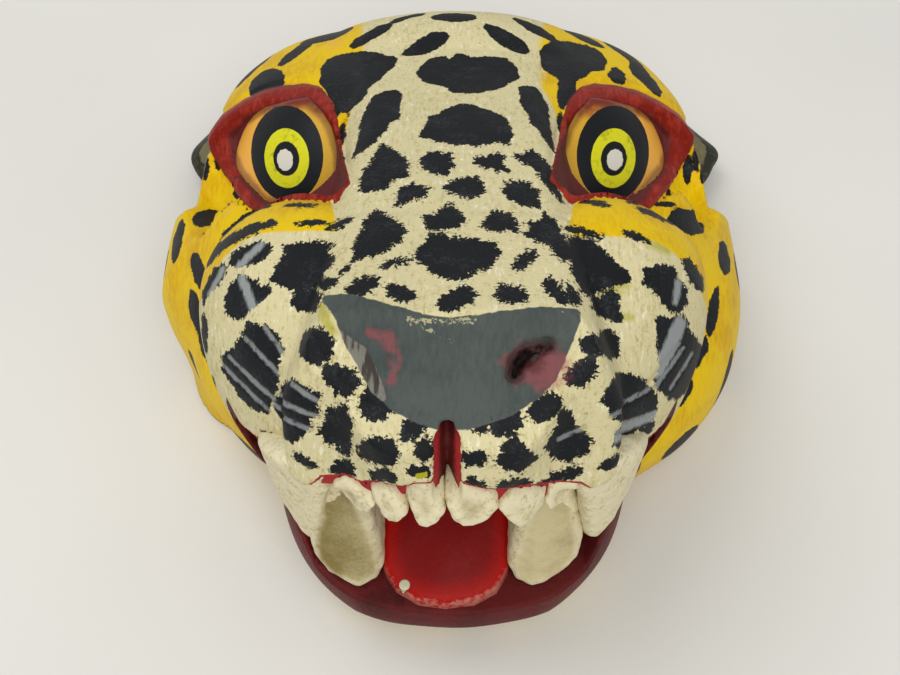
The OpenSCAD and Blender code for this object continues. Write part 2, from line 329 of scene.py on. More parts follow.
def outer(p):
    """The carved face before the mouth, the nostrils and the back are cut."""
    cut = np.where(p[0] < LEAN, socket(p, -1), socket(p, 1))
    whole = most(blend(skull(p), cheeks(p), 1.5), -cut)
    whole = blend(whole, bridge(p), 3)
    whole = blend(whole, jaw(p), 4)
    whole = blend(whole, muzzle(p), 1.2)
    whole = blend(whole, nose(p), 1.5)
    return np.where(p[2] > 68, most(whole, above_pad(p)), whole)


# ---- What is carved into the head ----

# The middle of the groove under the nose
LIP_GROOVE_X = -0.45
# The upper lip's edge, across and up (x, z). Past its ends the lip is the CAD's straight one.
LIP = pairs(-30,45, -27,47, -24,52, -20.5,56, -14.6,56.8, -10.4,60.3, -5.5,63.6, -2,64, 1,64,
    4.5,62.5, 8.5,60.5, 12.6,58.3, 17,55.2, 21,54.6, 24,51, 27,46.8, 30,45)
# The nostrils on the pad, across and down: a cut slit and a red stroke
SLIT = [(9.2, 9, 9.6, 7.2, 0.1), (9.6, 7.2, 11.4, 5.6, 0.3), (11.4, 5.6, 14.2, 4.6, 0)]
SLIT_BOWL = (12.6, 7.6, 4.6, 3.3)
RED_STROKE = [(-12.6, 2.6, -9.9, 3.5, 0.3), (-9.9, 3.5, -8.3, 6.4, 0.7), (-8.3, 6.4, -9.3, 10, 0.6)]
# The facets cut at the pad's two sides
WING_LEFT = pairs(-21,0.2, -17.8,1.6, -13.1,4.9, -11.2,8.5, -9.7,12.6, -12,14, -18,8, -21,3)
WING_RIGHT = pairs(14.6,6.2, 17.4,4.6, 20.4,0.8, 23,4, 18,12, 14,12.2, 15,9)
GUM_DROP = 4.8
# Depths of the cuts
LIP_GROOVE_DEPTH = 3.8
SLIT_DEPTH = 3.4
BOWL_DEPTH = 1.3
WHISKER_DEPTH = 0.42
WHISKER_HALF_W = 0.62
# Height of the painted roll round each eye, and depth of the line outside it
LID_HEIGHT = 0.9
LID_LINE = 0.35


def pad_plan(p):
    """Across and down the nose pad, and height above it."""
    y, z = p[1] + NOSE_TIP_Y, p[2] - NOSE_TIP_Z
    return p[0] - LEAN, -PAD_COS * y - PAD_SIN * z, above_pad(p)


def lip_z(x):
    middle = np.interp(x, [c[0] for c in LIP], [c[1] for c in LIP])
    return np.where(np.abs(x) < 30, middle, LIP_MID_Z - LIP_FALL * np.abs(x))


def mouth_wedge(p):
    x = np.abs(p[0] - LEAN)
    floor = JAW_TOP_Z + FLOOR_RISE * most(0, x - FLOOR_FLAT)
    between = most((floor - p[2]) * 0.8, (p[2] - lip_z(p[0])) * 0.85)
    return most(between, p[1] - MOUTH_BACK_Y)


def gum(p, face):
    """The wall that the upper teeth stand in: a strip under the lip, set back from it."""
    return most(face + 0.9, -6 - face, lip_z(p[0]) - GUM_DROP - p[2])


def lip_groove(p):
    """How deep the groove under the nose is at p."""
    half = np.clip(0.5 + 1.4 * (71.7 - p[2]), 0.5, 2.4)
    across = tent(np.abs(p[0] - LIP_GROOVE_X), half)
    deep = LIP_GROOVE_DEPTH * across * smooth(72.2, 71.2, p[2])
    return deep * smooth(50, 53, p[2]) * (p[1] < -50)


def hollow(p):
    """Distance to the scoop cut out of the back."""
    return egg([a - b for a, b in zip(p, HOLLOW_MIDDLE)], HOLLOW, 2)


def lid_ridge(p):
    """Height of the painted roll round each eye, and the line cut outside it."""
    out_d, in_d = lids(p, LIDS), lids(p, LIDS_IN)
    roll = smooth(0.3, -1.2, out_d) * smooth(-0.6, 0.9, in_d)
    return LID_HEIGHT * roll - LID_LINE * np.exp(-((out_d - 0.5) / 0.6) ** 2)


def whisker_cuts(p):
    """How deep the whisker lines are at p."""
    return WHISKER_DEPTH * tent(whisker_distance(p), WHISKER_HALF_W)


def head(p):
    face = outer(p)
    near = np.abs(face) < 4
    q = [a[near] for a in p]
    carved = 0.28 * waves(q, 22, 3) + 0.10 * waves(q, 7, 4)
    carved = carved - lid_ridge(q) + lip_groove(q) + whisker_cuts(q)
    shaped = face.copy()
    shaped[near] += carved
    across, down, _ = pad_plan(p)
    slit = to_strokes(across, down, SLIT)
    bowl = np.hypot((across - SLIT_BOWL[0]) / SLIT_BOWL[2], (down - SLIT_BOWL[1]) / SLIT_BOWL[3])
    cut = SLIT_DEPTH * tent(slit, 1.5) ** 0.8 + BOWL_DEPTH * tent(bowl, 1)
    cut = cut + 0.7 * smooth(0.5, -1.2, outline(across, down, WING_LEFT))
    cut = cut + 0.5 * smooth(0.5, -1.2, outline(across, down, WING_RIGHT))
    cut = cut + 0.35 * tent(to_strokes(across, down, RED_STROKE), 1)
    shaped = shaped + cut * (np.abs(face) < 12) * (p[2] > 60)
    shaped = most(shaped, -most(mouth_wedge(p), -gum(p, face)))
    scoop = hollow(p)
    near = np.abs(scoop) < 6
    q = [a[near] for a in p]
    scoop[near] += 0.35 * np.abs(waves(q, 6, 11)) + 0.3 * waves(q, 14, 12)
    shaped = most(shaped, -scoop)
    return most(shaped, -p[2])


# ---- From distances to meshes ----

def near_values(field, axes, step, slope=2.0):
    """Distances on a grid. Far from the surface, whole blocks share one value."""
    size = 6
    counts = [len(a) for a in axes]
    middles = [a[least(np.arange(0, len(a), size) + size // 2, len(a) - 1)] for a in axes]
    grid = np.meshgrid(*middles, indexing="ij")
    coarse = field([g.ravel() for g in grid]).reshape(grid[0].shape)
    near = np.abs(coarse) < slope * size * step

    def spread(a):
        for axis in range(3):
            a = a.repeat(size, axis)
        return a[:counts[0], :counts[1], :counts[2]]

    values = spread(coarse).astype(np.float64)
    where = np.nonzero(spread(near))
    for part in np.array_split(np.arange(len(where[0])), 1 + len(where[0]) // 400000):
        index = tuple(w[part] for w in where)
        values[index] = field([a[i] for a, i in zip(axes, index)])
    for axis in range(3):
        for end in (0, -1):
            face = [slice(None)] * 3
            face[axis] = end
            values[tuple(face)] = step
    return values


def nets(values, axes):
    """Points and quads of the surface where the values change sign."""
    inside = values < 0
    shape = [n - 1 for n in values.shape]
    corners = [(i, j, k) for i in (0, 1) for j in (0, 1) for k in (0, 1)]
    held = sum(inside[i:i + shape[0], j:j + shape[1], k:k + shape[2]].astype(np.int8)
               for i, j, k in corners)
    crossed = (held > 0) & (held < 8)
    cells = np.argwhere(crossed)
    number = np.full(shape, -1)
    number[crossed] = np.arange(len(cells))
    at = {c: values[tuple((cells + c).T)] for c in corners}
    total = np.zeros((len(cells), 3))
    count = np.zeros(len(cells))
    for a in corners:
        for axis in range(3):
            if a[axis]:
                continue
            b = tuple(1 if i == axis else a[i] for i in range(3))
            hit = (at[a] < 0) != (at[b] < 0)
            point = np.tile(np.array(a, float), (hit.sum(), 1))
            point[:, axis] += at[a][hit] / (at[a][hit] - at[b][hit])
            total[hit] += point
            count[hit] += 1
    place = cells + total / count[:, None]
    points = [np.interp(place[:, i], np.arange(len(a)), a) for i, a in enumerate(axes)]
    quads = []
    for axis in range(3):
        u, v = [(1, 2), (2, 0), (0, 1)][axis]
        first = np.take(inside, range(0, inside.shape[axis] - 1), axis)
        second = np.take(inside, range(1, inside.shape[axis]), axis)
        edge = np.argwhere(first != second)
        flip = first[tuple(edge.T)]
        ring = []
        for du, dv in ((1, 1), (0, 1), (0, 0), (1, 0)):
            cell = edge.copy()
            cell[:, u] -= du
            cell[:, v] -= dv
            ring.append(number[tuple(cell.T)])
        quad = np.stack(ring, 1)
        quad[~flip] = quad[~flip][:, ::-1]
        quads.append(quad)
    return np.stack(points, 1), np.concatenate(quads)


def slopes(field, points):
    """Gradient of the field at each point."""
    e = 0.05
    columns = []
    for axis in range(3):
        ahead, behind = points.copy(), points.copy()
        ahead[:, axis] += e
        behind[:, axis] -= e
        columns.append((field(ahead.T) - field(behind.T)) / (2 * e))
    return np.stack(columns, 1)


def settle(field, points, step, times=2):
    """Moves points the rest of the way to the surface."""
    for _ in range(times):
        g = slopes(field, points)
        move = -(field(points.T) / most((g ** 2).sum(1), 0.05))[:, None] * g
        far = np.linalg.norm(move, axis=1, keepdims=True)
        points = points + move * least(1, 0.5 * step / most(far, 1e-9))
    return points


def add_object(name, data):
    made = bpy.data.objects.new(name, data)
    bpy.context.scene.collection.objects.link(made)
    return made


def carve(name, field, low, high, step, flat_back=False):
    """A closed mesh object of the surface where the field is zero, and its points."""
    axes = [np.arange(low[i] - 2 * step, high[i] + 3 * step, step) for i in range(3)]
    points, quads = nets(near_values(field, axes, step), axes)
    points = settle(field, points, step)
    if flat_back:
        points[:, 2] = most(points[:, 2], 0)
    mesh = bpy.data.meshes.new(name)
    mesh.from_pydata(((points + SHIFT) * MM).tolist(), [], quads.tolist())
    mesh.validate()
    mesh.shade_smooth()
    return add_object(name, mesh), points


def keep(piece, **values):
    """Stores a number for each point of the mesh, for its material to read."""
    for name, value in values.items():
        layer = piece.data.attributes.new(name, "FLOAT", "POINT")
        layer.data.foreach_set("value", np.ascontiguousarray(value, np.float32))


# ---- The painted pattern ----

# A drawing is laid on the face from one direction. Places on it are millimetres across and up.
# Each has the direction it's laid on from and the direction that is up on it.
FRONT = ((0, -0.57, 0.82), (0, 0.82, 0.57))
CROWN = ((0, 0.8, 0.6), (0, 0.6, -0.8))
NAPE = ((0, 1, 0), (0, 0, -1))
LEFT = ((-0.84, 0, 0.54), (0, 1, 0))
RIGHT = ((0.84, 0, 0.54), (0, 1, 0))
CHIN = ((0, -1, 0), (0, 0, 1))

# Outlines of spots, each in a square that runs from -1 to 1 both ways
ROUGH = pairs(-1,-.1, -.85,.5, -.4,.9, .15,1, .65,.75, .95,.3, 1,-.3, .7,-.8, .2,-1, -.35,-.9,
    -.8,-.6)
RISING = pairs(-1,-.75, -.8,-.2, -.3,.45, .3,.9, .85,1, 1,.6, .8,.1, .3,-.45, -.2,-.85, -.7,-1)
FALLING = [(-a, b) for a, b in reversed(RISING)]
PLUMP = pairs(-1,-.45, -.85,.2, -.35,.75, .35,1, .9,.85, 1,.25, .8,-.3, .25,-.8, -.4,-1, -.85,-.85)
PLUMP_DOWN = [(-a, b) for a, b in reversed(PLUMP)]
STROKE = pairs(-1,.1, -.5,.8, .2,1, .8,.7, 1,-.1, .5,-.8, -.2,-1, -.8,-.7)
LEAF = pairs(-1,0, -.6,.5, -.1,.85, .75,.95, .95,.4, 1,-.3, .75,-.9, .2,-.85, -.3,-.7, -.7,-.4)
BAND = pairs(-1,-.05, -.93,.35, -.72,.75, -.42,.97, -.37,.72, -.2,.95, .1,.85, .45,.85, .75,.78,
    .88,.55, .98,.15, 1,-.1, .8,-.5, .5,-.85, .1,-1, -.25,-.95, -.5,-.65, -.85,-.4)
CAP = pairs(-1,-.6, -.93,-.1, -.78,.35, -.45,.65, -.15,.98, .25,.85, .6,.6, .85,.3, .97,-.1, 1,-.5,
    .9,-.9, .6,-.85, .2,-.9, -.3,-.9, -.65,-.75)
BROW_LEFT = pairs(-1,.55, -.9,.8, -.5,.92, .1,1, .45,.95, .65,.8, 1,.72, .85,.4, .6,.1, .35,-.2,
    .2,-.5, -.05,-.75, -.15,-1, -.3,-.75, -.42,-.95, -.55,-.55, -.75,-.2, -.98,.1)
BROW_RIGHT = pairs(-1,.5, -.85,.75, -.5,.97, 0,1, .45,.93, .75,.85, .95,.65, 1,.4, .85,.17, .45,.1,
    .3,-.05, .1,-.12, -.05,-.2, -.1,-.55, -.35,-.8, -.5,-1, -.65,-.95, -.6,-.5, -.5,-.2, -.75,-.05,
    -.95,.15)
SLANT = pairs(.9,.85, .6,1, .1,.98, -.3,.85, -.65,.5, -.85,.15, -.85,-.2, -.95,-.6, -1,-1, -.65,-.8,
    -.2,-.62, .25,-.35, .55,0, .95,.1, .85,.45, 1,.65)
FLAG = pairs(.05,.9, .4,.75, .7,.45, 1,.2, .85,-.2, .4,-.45, 0,-.7, -.5,-.85, -.95,-.95, -.9,-.5,
    -.85,-.1, -.65,.3, -.45,.75, -.25,1)
SADDLE = pairs(-1,.05, -.9,-.3, -.6,-.7, -.25,-.95, .1,-1, .4,-.75, .7,-.45, .95,-.05, 1,.2, .9,.5,
    .6,.68, .2,.75, 0,.75, -.35,.9, -.65,1, -.75,.6, -.9,.35)
STRAP = pairs(-1,.95, -.5,1, .2,.97, .6,.7, .9,.3, .9,-.3, 1,-.95, .55,-.75, 0,-.4, -.45,-.2,
    -.75,.15, -1,.45, -.9,.7)
HOOK = pairs(-1,.8, -.5,.8, -.2,1, .2,.9, .55,.6, .8,.1, 1,-.5, 1,-1, .8,-.75, .3,-.4, .05,0,
    -.3,.35, -.75,.55)
WING = pairs(-.05,.95, .3,.75, .5,.3, .8,-.2, 1,-.75, .4,-1, .1,-.7, -.1,-.35, -.6,-.2, -1,.1,
    -.7,.35, -.75,.65, -.3,.65)
KITE = pairs(0,1, .35,.6, 1,.4, .8,-.1, .6,-.35, -.2,-.6, -.95,-1, -.8,-.5, -.75,.1, -.4,.6)
BEAN = pairs(.3,1, .55,.75, .85,.3, 1,0, .9,-.55, .4,-.8, -.1,-1, -.65,-.8, -.75,-.5, -1,-.1,
    -.85,.1, -.3,.25, -.1,.75)
LOAF = pairs(-1,-.6, -.7,.1, -.3,.8, .2,1, .6,.7, .75,.2, 1,-.3, .8,-.95, .2,-1, -.5,-.95)
CUBE = pairs(-1,0, -.9,.6, -.3,.55, .1,.85, .5,1, .9,.7, .9,-.2, 1,-.85, .5,-1, 0,-.7, -.6,-.6)
CRESCENT = pairs(-1,-.95, -.95,-.4, -.6,.2, 0,.75, .55,1, 1,.65, .7,.15, .3,-.15, -.3,-.5, -.8,-.95)
FIST = pairs(-1,-.1, -.8,.55, -.35,1, .1,.85, .5,.8, .6,.45, .95,.5, 1,.2, .7,-.1, .2,-.55, 0,-.9,
    -.4,-1, -.85,-.65)
TAILED = pairs(-1,-.55, -.85,-.3, -.95,0, -.6,.4, -.7,.75, -.2,.9, .3,1, .8,.85, .6,.6, .65,.4,
    1,.3, .85,0, .65,-.25, .65,-.5, 1,-.55, 1.2,-.2, 1.38,-.05, 1.2,-.6, 1,-.85, .7,-1, .3,-.8,
    -.3,-.95, -.7,-.75)
GROOVED_A = pairs(-.1,.98, .35,.85, .7,.8, 1,.4, .85,-.05, .8,-.45, .45,-1, 0,-.92, -.5,-.6, -1,-.1,
    -.95,.2, -.4,.45, -.2,.7)
GROOVED_B = pairs(.1,1, .6,.75, 1,.55, .9,.1, .6,-.35, .5,-.65, 0,-1, -.5,-.75, -.8,-.4, -1,0,
    -.7,.35, -.5,.7)
GROOVED_C = pairs(-.95,.9, -.1,.95, .1,.65, .5,.4, .95,.2, 1,-.1, .8,-.5, .4,-.85, -.1,-1, -.6,-.9,
    -1,-.5, -.85,-.2, -.95,.3)
GROOVED_D = pairs(-.6,.95, 0,.9, .4,.75, .7,.45, 1,.15, .85,-.3, .6,-.65, 0,-.85, -.5,-1, -.55,-.6,
    -.3,-.35, -.7,-.1, -1,.3, -.8,.7)
TOOTHLIKE = pairs(.6,1, .85,.6, .95,.1, .8,-.5, .6,-1, 0,-.7, -.5,-.5, -1,-.1, -.6,.3, -.4,.85)
APRON = pairs(-.9,.95, -.3,1, 0,.85, .35,.35, .6,.1, .95,-.2, 1,-.4, .7,-.6, .2,-.75, -.4,-1,
    -.75,-.95, -.9,-.3, -1,.4)
SHIELD = pairs(-.8,.8, -.3,1, .3,.9, .6,.4, .95,0, .95,-.7, .6,-.95, .2,-1, -.2,-.6, -.6,-.1,
    -1,.25)
PIKE = pairs(-.4,1, 0,.8, .3,.3, 1,-.3, .6,-.75, 0,-1, -.7,-.85, -1,-.4, -.75,.3)
ARC = pairs(-1,-.6, -.55,.15, .1,.7, .85,1, 1,.8, .4,.3, -.3,-.2, -.8,-1)

# The spots on each drawing: middle, half width, half height, outline
SPOTS = {
    FRONT: [
        # Forehead and brows
        (3.7,59.1, 10.7,5.8, BAND), (3.0,45.0, 8.7,5.6, CAP),
        (-19.2,56.9, 8.2,9.3, BROW_LEFT), (26.7,60.1, 7.5,10, BROW_RIGHT),
        (35.9,60.4, 1.9,2.4, ROUGH), (42.8,61, 3.4,4.6, FALLING),
        (-39.5,58.9, 4.2,4.4, ROUGH), (22,46.4, .9,3.2, STROKE), (21.8,38.5, .8,3, STROKE),
        (-21.3,44, 1,2.9, STROKE), (-20.8,36.5, .7,2.4, STROKE),
        # The two edges of the bridge
        (-13.6,45.6, 4.2,8.6, SLANT), (-11.5,34.4, 4.5,5.6, FLAG), (16.8,47, 2.9,8.5, STRAP),
        (15.5,33.2, 3.9,5.4, HOOK), (16.2,20.9, 3.9,4.4, WING), (-11.5,21.2, 4.3,4.8, FLAG),
        # The bridge, from the brow to the nose
        (-2.3,35.9, 3.1,2.6, ROUGH), (7.3,35.9, 2.8,2.1, CUBE), (-6.5,29.3, 3,2.9, KITE),
        (2.4,30.5, 3.5,2.4, LEAF), (12.5,29.3, 3.1,2.8, PLUMP_DOWN),
        (-1.2,24.6, 3.7,2.8, BEAN), (8.3,24, 3.3,2.2, LOAF), (1.2,17.5, 6.8,4.1, SADDLE),
        (-8.7,16.3, 2.6,1, RISING), (12,16.9, 2.2,1.8, RISING), (-13.3,12.4, 2.4,1.5, PLUMP),
        (-7.6,11.3, 2.1,1.4, PLUMP_DOWN), (1,10.3, 2.9,1.9, PLUMP),
        (9.3,11.1, 2.6,1.4, ROUGH), (16,11.8, 2,2.3, FALLING), (18.6,11.2, 1.2,2.2, FALLING),
        # The viewer's left puff
        (-33.6,18.3, 4,2.2, PLUMP), (-40.9,13.6, 2.8,3.6, CRESCENT),
        (-33.8,10.9, 4.3,3.7, FIST), (-23.7,16.1, 5.6,4.4, TAILED),
        (-22.7,10.3, 2.9,2, ROUGH), (-20.2,3.2, 3.2,2.8, ROUGH),
        (-16.3,-1.8, 2.9,2.4, PLUMP_DOWN), (-11,-5.3, 2.4,2.9, ROUGH),
        (-33.1,-.4, 6.2,7.9, GROOVED_A), (-24.5,-6.9, 5.1,5.1, GROOVED_B),
        (-17.3,-9.8, 2.9,4.2, TOOTHLIKE), (-5.2,-8.8, 2.2,2, PLUMP),
        (-43.2,5.1, 1,3.6, STROKE), (-42.8,-4.1, .6,1.6, STROKE), (-39,-9, .9,1.9, FALLING),
        (-30.6,-12.8, 1.7,1.4, PLUMP_DOWN), (-22.9,-14.9, 2,1.3, FALLING),
        (-16.6,-16.2, 1.9,1.5, ROUGH), (-10.8,-12.5, 3.3,2.3, ROUGH),
        (-10.2,-16.6, 2.3,1.2, ROUGH), (-4.8,-15.7, 1.7,1.1, ROUGH), (-3.8,-12, 1.6,2, ROUGH),
        # The viewer's right puff
        (24,16, 5.2,5.1, APRON), (22.6,22, 3.2,1.1, FALLING), (31.2,21.4, 2.2,1.2, FALLING),
        (24.7,9.5, 2.7,2.6, CUBE), (23.3,3.4, 4,2.4, CUBE), (19.8,-.7, 2.5,2.1, PLUMP),
        (14.2,-5.8, 2.8,2.1, PLUMP), (8.4,-8.3, 2.3,1.8, PLUMP), (4.6,-8.2, 1.8,1.3, ROUGH),
        (35.9,12.6, 4.5,4, SHIELD), (41.9,15.4, 2.6,3, FALLING), (40,.9, 6.2,7.4, GROOVED_C),
        (29.2,-7, 6.2,6, GROOVED_D), (18.4,-10.6, 3.9,4.2, PIKE), (10.2,-12.8, 3.5,2.9, PIKE),
        (10,-18, 2.9,1.2, ROUGH), (17.4,-17.6, 3.7,1.6, RISING), (25.8,-15.2, 3,1.4, RISING),
        (33.8,-11, 1.4,1.2, ROUGH), (3.6,-13.4, 2,1.3, ROUGH), (3.6,-18, 1.9,1.2, ROUGH),
        # Cheeks and temples
        (-38.8,25.4, 5.6,3.4, RISING), (-36.8,20.7, 7.8,3.9, ARC), (-50.3,29, 2.8,2.2, ROUGH),
        (-48.6,16.8, 2.6,4.2, FALLING), (-48.6,7, 2.6,6.6, FALLING),
        (-46.6,.4, 2.2,2.6, FALLING), (-55.6,24, 1.6,5, STROKE),
        (-23.6,23.8, 2.8,.45, STROKE), (-18.6,23.4, 2.1,1.2, RISING),
        (-26,27.4, 3,.5, STROKE), (-34,27.6, 2.2,.45, STROKE), (-49.6,42.5, .9,3, STROKE),
        (-44.6,36, .9,3, STROKE), (-52.4,40.4, .7,2.8, STROKE), (-55,36.5, 1,4.4, STROKE),
        (46.8,27, 5.1,2.6, ROUGH), (55.3,20.4, 1.7,3.6, STROKE), (46,20, 1.7,2.1, FALLING),
        (51.3,9.5, 1.7,5, RISING), (48.4,1.6, 1.3,3, RISING), (44.6,-6.5, 1.9,2.7, RISING),
        (41,30, 2.7,.5, STROKE), (33.6,28.4, 2.5,.45, STROKE), (25.4,28, 2.8,1.1, FALLING),
        (36.9,26, 4.5,1.4, FALLING), (50.8,40.4, .9,3.2, STROKE), (45.5,33.6, 1,3, STROKE),
        (52.6,42.4, .7,2.6, STROKE), (54.4,40, .7,2.8, STROKE), (56.2,35.4, 1.1,4.4, STROKE)],
    CROWN: [
        (-5.4,-6.1, 5.2,3.2, RISING), (-17.4,0, 4.9,3.5, RISING),
        (12.4,-3.2, 5.1,3.4, FALLING), (.8,3.2, 5.2,2.8, ROUGH), (-9.6,5, 4,2.4, RISING),
        (19,3.3, 4.9,4, FALLING), (-28,9, 6.2,4.4, ROUGH), (-34.4,3, 3.6,5.4, RISING),
        (-44,7.7, 4,6, RISING), (30.3,8.6, 4.6,4.4, FALLING), (39.4,7.6, 4.2,6, FALLING),
        (2,15, 5,4.4, ROUGH), (-12,17.5, 4.4,4.2, ROUGH), (14,18, 4,4.4, ROUGH),
        (27,20, 4.4,4.6, FALLING), (-30,21, 4.6,4.4, ROUGH), (-42,20, 3.4,4, ROUGH),
        (41,20, 3.4,4, ROUGH)],
    NAPE: [
        (-24,-18, 5.5,4, ROUGH), (-8,-12, 5,4.4, FALLING), (9,-16, 5.6,4, ROUGH),
        (26,-13, 5,4.6, RISING), (-38,-11, 4.6,4.4, ROUGH), (41,-15, 4.4,3.8, ROUGH)],
    LEFT: [
        (-20,56, 4,5.2, ROUGH), (-12,44, 3.6,5.4, FALLING), (-22,36, 4.4,4.8, ROUGH),
        (-14,24, 3.2,5, STROKE), (-23,17, 4.6,5, RISING), (-12,6, 3.4,4.2, ROUGH),
        (-22,-3, 4.8,4.2, ROUGH), (-14,-17, 4,4.6, RISING)],
    RIGHT: [
        (20,56, 4,5.2, ROUGH), (12,44, 3.6,5.4, RISING), (22,37, 4.4,4.8, ROUGH),
        (14,25, 3.2,5, STROKE), (23,16, 4.6,5, FALLING), (12,5, 3.4,4.2, ROUGH),
        (22,-4, 4.8,4.2, ROUGH), (15,-18, 4,4.6, FALLING)],
    CHIN: [
        (-41,12, 5,4, ROUGH), (-27,8, 4.4,3.4, FALLING), (-12,8, 4.6,3.2, ROUGH),
        (4,7, 4.6,3.4, ROUGH), (19,8, 4.8,3.4, RISING), (33,10, 4.6,3.8, ROUGH),
        (46,14, 4,4.2, ROUGH)]}

# Whisker grooves on the front drawing: where each starts and ends
WHISKERS = [
    (-33.9, 4.4, -27.5, -1.6), (-37.4, 1.1, -28.8, -5.6), (-39.4, 0, -30.3, -7.3),
    (-30.1, 6.2, -26.7, 1.7), (-27.9, -4.7, -20, -7.7), (-29.3, -6.4, -21.3, -9.8),
    (-24.1, -2.5, -19.4, -5.5), (32.7, -3, 38.6, 3.3), (34.2, -3.9, 39.6, 2.6),
    (37.6, -4.4, 42, 1.6), (24.5, -7.7, 33, -4.2), (25.8, -10.3, 35, -8.3), (16.6, -11.2, 21, -9.2)]
# Broad strokes of thin grey over the black: start, end and half width
SMEARS = [
    (-34.6, 14.2, -31.8, 8.6, .9), (-35.4, 16.4, -31.6, 20, .8), (-41.6, 11.8, -38.8, 16, .7),
    (34.6, -1, 38.6, 6.6, 1.5), (26, -11.3, 36, -8.6, .9), (37.6, 10.4, 38.4, 13.6, .8)]
# Touches of lime: start, end and half width
LIMES = [
    (24.6, 12.4, 28.6, 13, .5), (24, 11.2, 27.6, 11.6, .3), (33.2, 20.6, 36.6, 19.2, 0.8),
    (34.4, 15.4, 38, 14.6, .5), (-19.4, 9, -17.8, 5.4, .7), (28, 7.8, 29.2, 7.6, .5),
    (13.6, -3.2, 12.4, -4.4, .6), (48.6, 29.2, 51, 27.6, 1.2), (-2.4, 6.4, 5, 7.2, .45)]
# One lime dot on a black spot
DOT = [(-4.8, -16.3, -3.8, -16.1, .4)]


def on_drawing(p, drawing):
    """Where p lies on a drawing: across, up, and the height above its middle."""
    out, up = (np.array(v, float) for v in drawing)
    right = np.cross(up, out)
    return [sum(p[i] * way[i] for i in range(3)) for way in (right, up, out)]


def heights(places, drawing):
    """How far out along the drawing's direction the face lies under each place."""
    out, up = (np.array(v, float) for v in drawing)
    right = np.cross(up, out)
    points = np.array([x * right + s * up + 110 * out for x, s in places])
    todo = np.ones(len(points), bool)
    for _ in range(300):
        f = outer(points.T)
        todo &= (f > 0.03) & (points @ out > -40)
        points = points - np.where(todo, np.clip(0.4 * f, 0.03, 3), 0)[:, None] * out
    return points @ out


def to_strokes(a, b, strokes):
    """Distance on a drawing from each point to the nearest stroke's edge."""
    nearest = np.full(np.shape(a), FAR)
    for x0, y0, x1, y1, half in strokes:
        ex, ey = x1 - x0, y1 - y0
        t = np.clip(((a - x0) * ex + (b - y0) * ey) / (ex * ex + ey * ey), 0, 1)
        nearest = least(nearest, np.hypot(a - x0 - ex * t, b - y0 - ey * t) - half)
    return nearest


def whisker_distance(p):
    a, b, _ = on_drawing(p, FRONT)
    return to_strokes(a, b, [w + (0,) for w in WHISKERS]) + FAR * (p[2] < 40)


def spot_values(p):
    """How far each point is inside a spot, and its place on a circle round that spot."""
    inside = np.full(len(p[0]), -FAR)
    bearing = [np.zeros(len(p[0])), np.zeros(len(p[0]))]
    count = 0
    for drawing, spots in SPOTS.items():
        a, b, h = on_drawing(p, drawing)
        level = heights([s[:2] for s in spots], drawing)
        for (x, s, half_w, half_h, shape), anchor in zip(spots, level):
            count += 1
            room = 6 + 1.6 * max(half_w, half_h)
            near = (np.abs(a - x) < 1.5 * half_w + 3) & (np.abs(b - s) < half_h + 3)
            near &= np.abs(h - anchor) < room
            if not near.any():
                continue
            u, v = a[near] - x, b[near] - s
            q = [c[near] for c in p]
            wobble = 0.25 * waves(q, 2.6, 50 + count) + 0.12 * waves(q, 1.2, 90 + count)
            edge = [(c[0] * half_w, c[1] * half_h) for c in shape]
            d = -outline(u, v, edge) + wobble * min(1, half_h / 2)
            better = d > inside[near]
            index = np.nonzero(near)[0][better]
            inside[index] = d[better]
            turn = np.arctan2(v, u)[better]
            size = math.sqrt(half_w * half_h)
            bearing[0][index] = size * np.cos(turn) + 17.3 * count
            bearing[1][index] = size * np.sin(turn)
    return inside, bearing


# ---- Materials ----

def srgb(code):
    """Linear colour from a hexadecimal one."""
    parts = [int(code[i:i + 2], 16) / 255 for i in (1, 3, 5)]
    return tuple(c / 12.92 if c <= 0.04045 else ((c + 0.055) / 1.055) ** 2.4 for c in parts)


# How strongly plain paint mirrors the light
SHEEN = 0.14


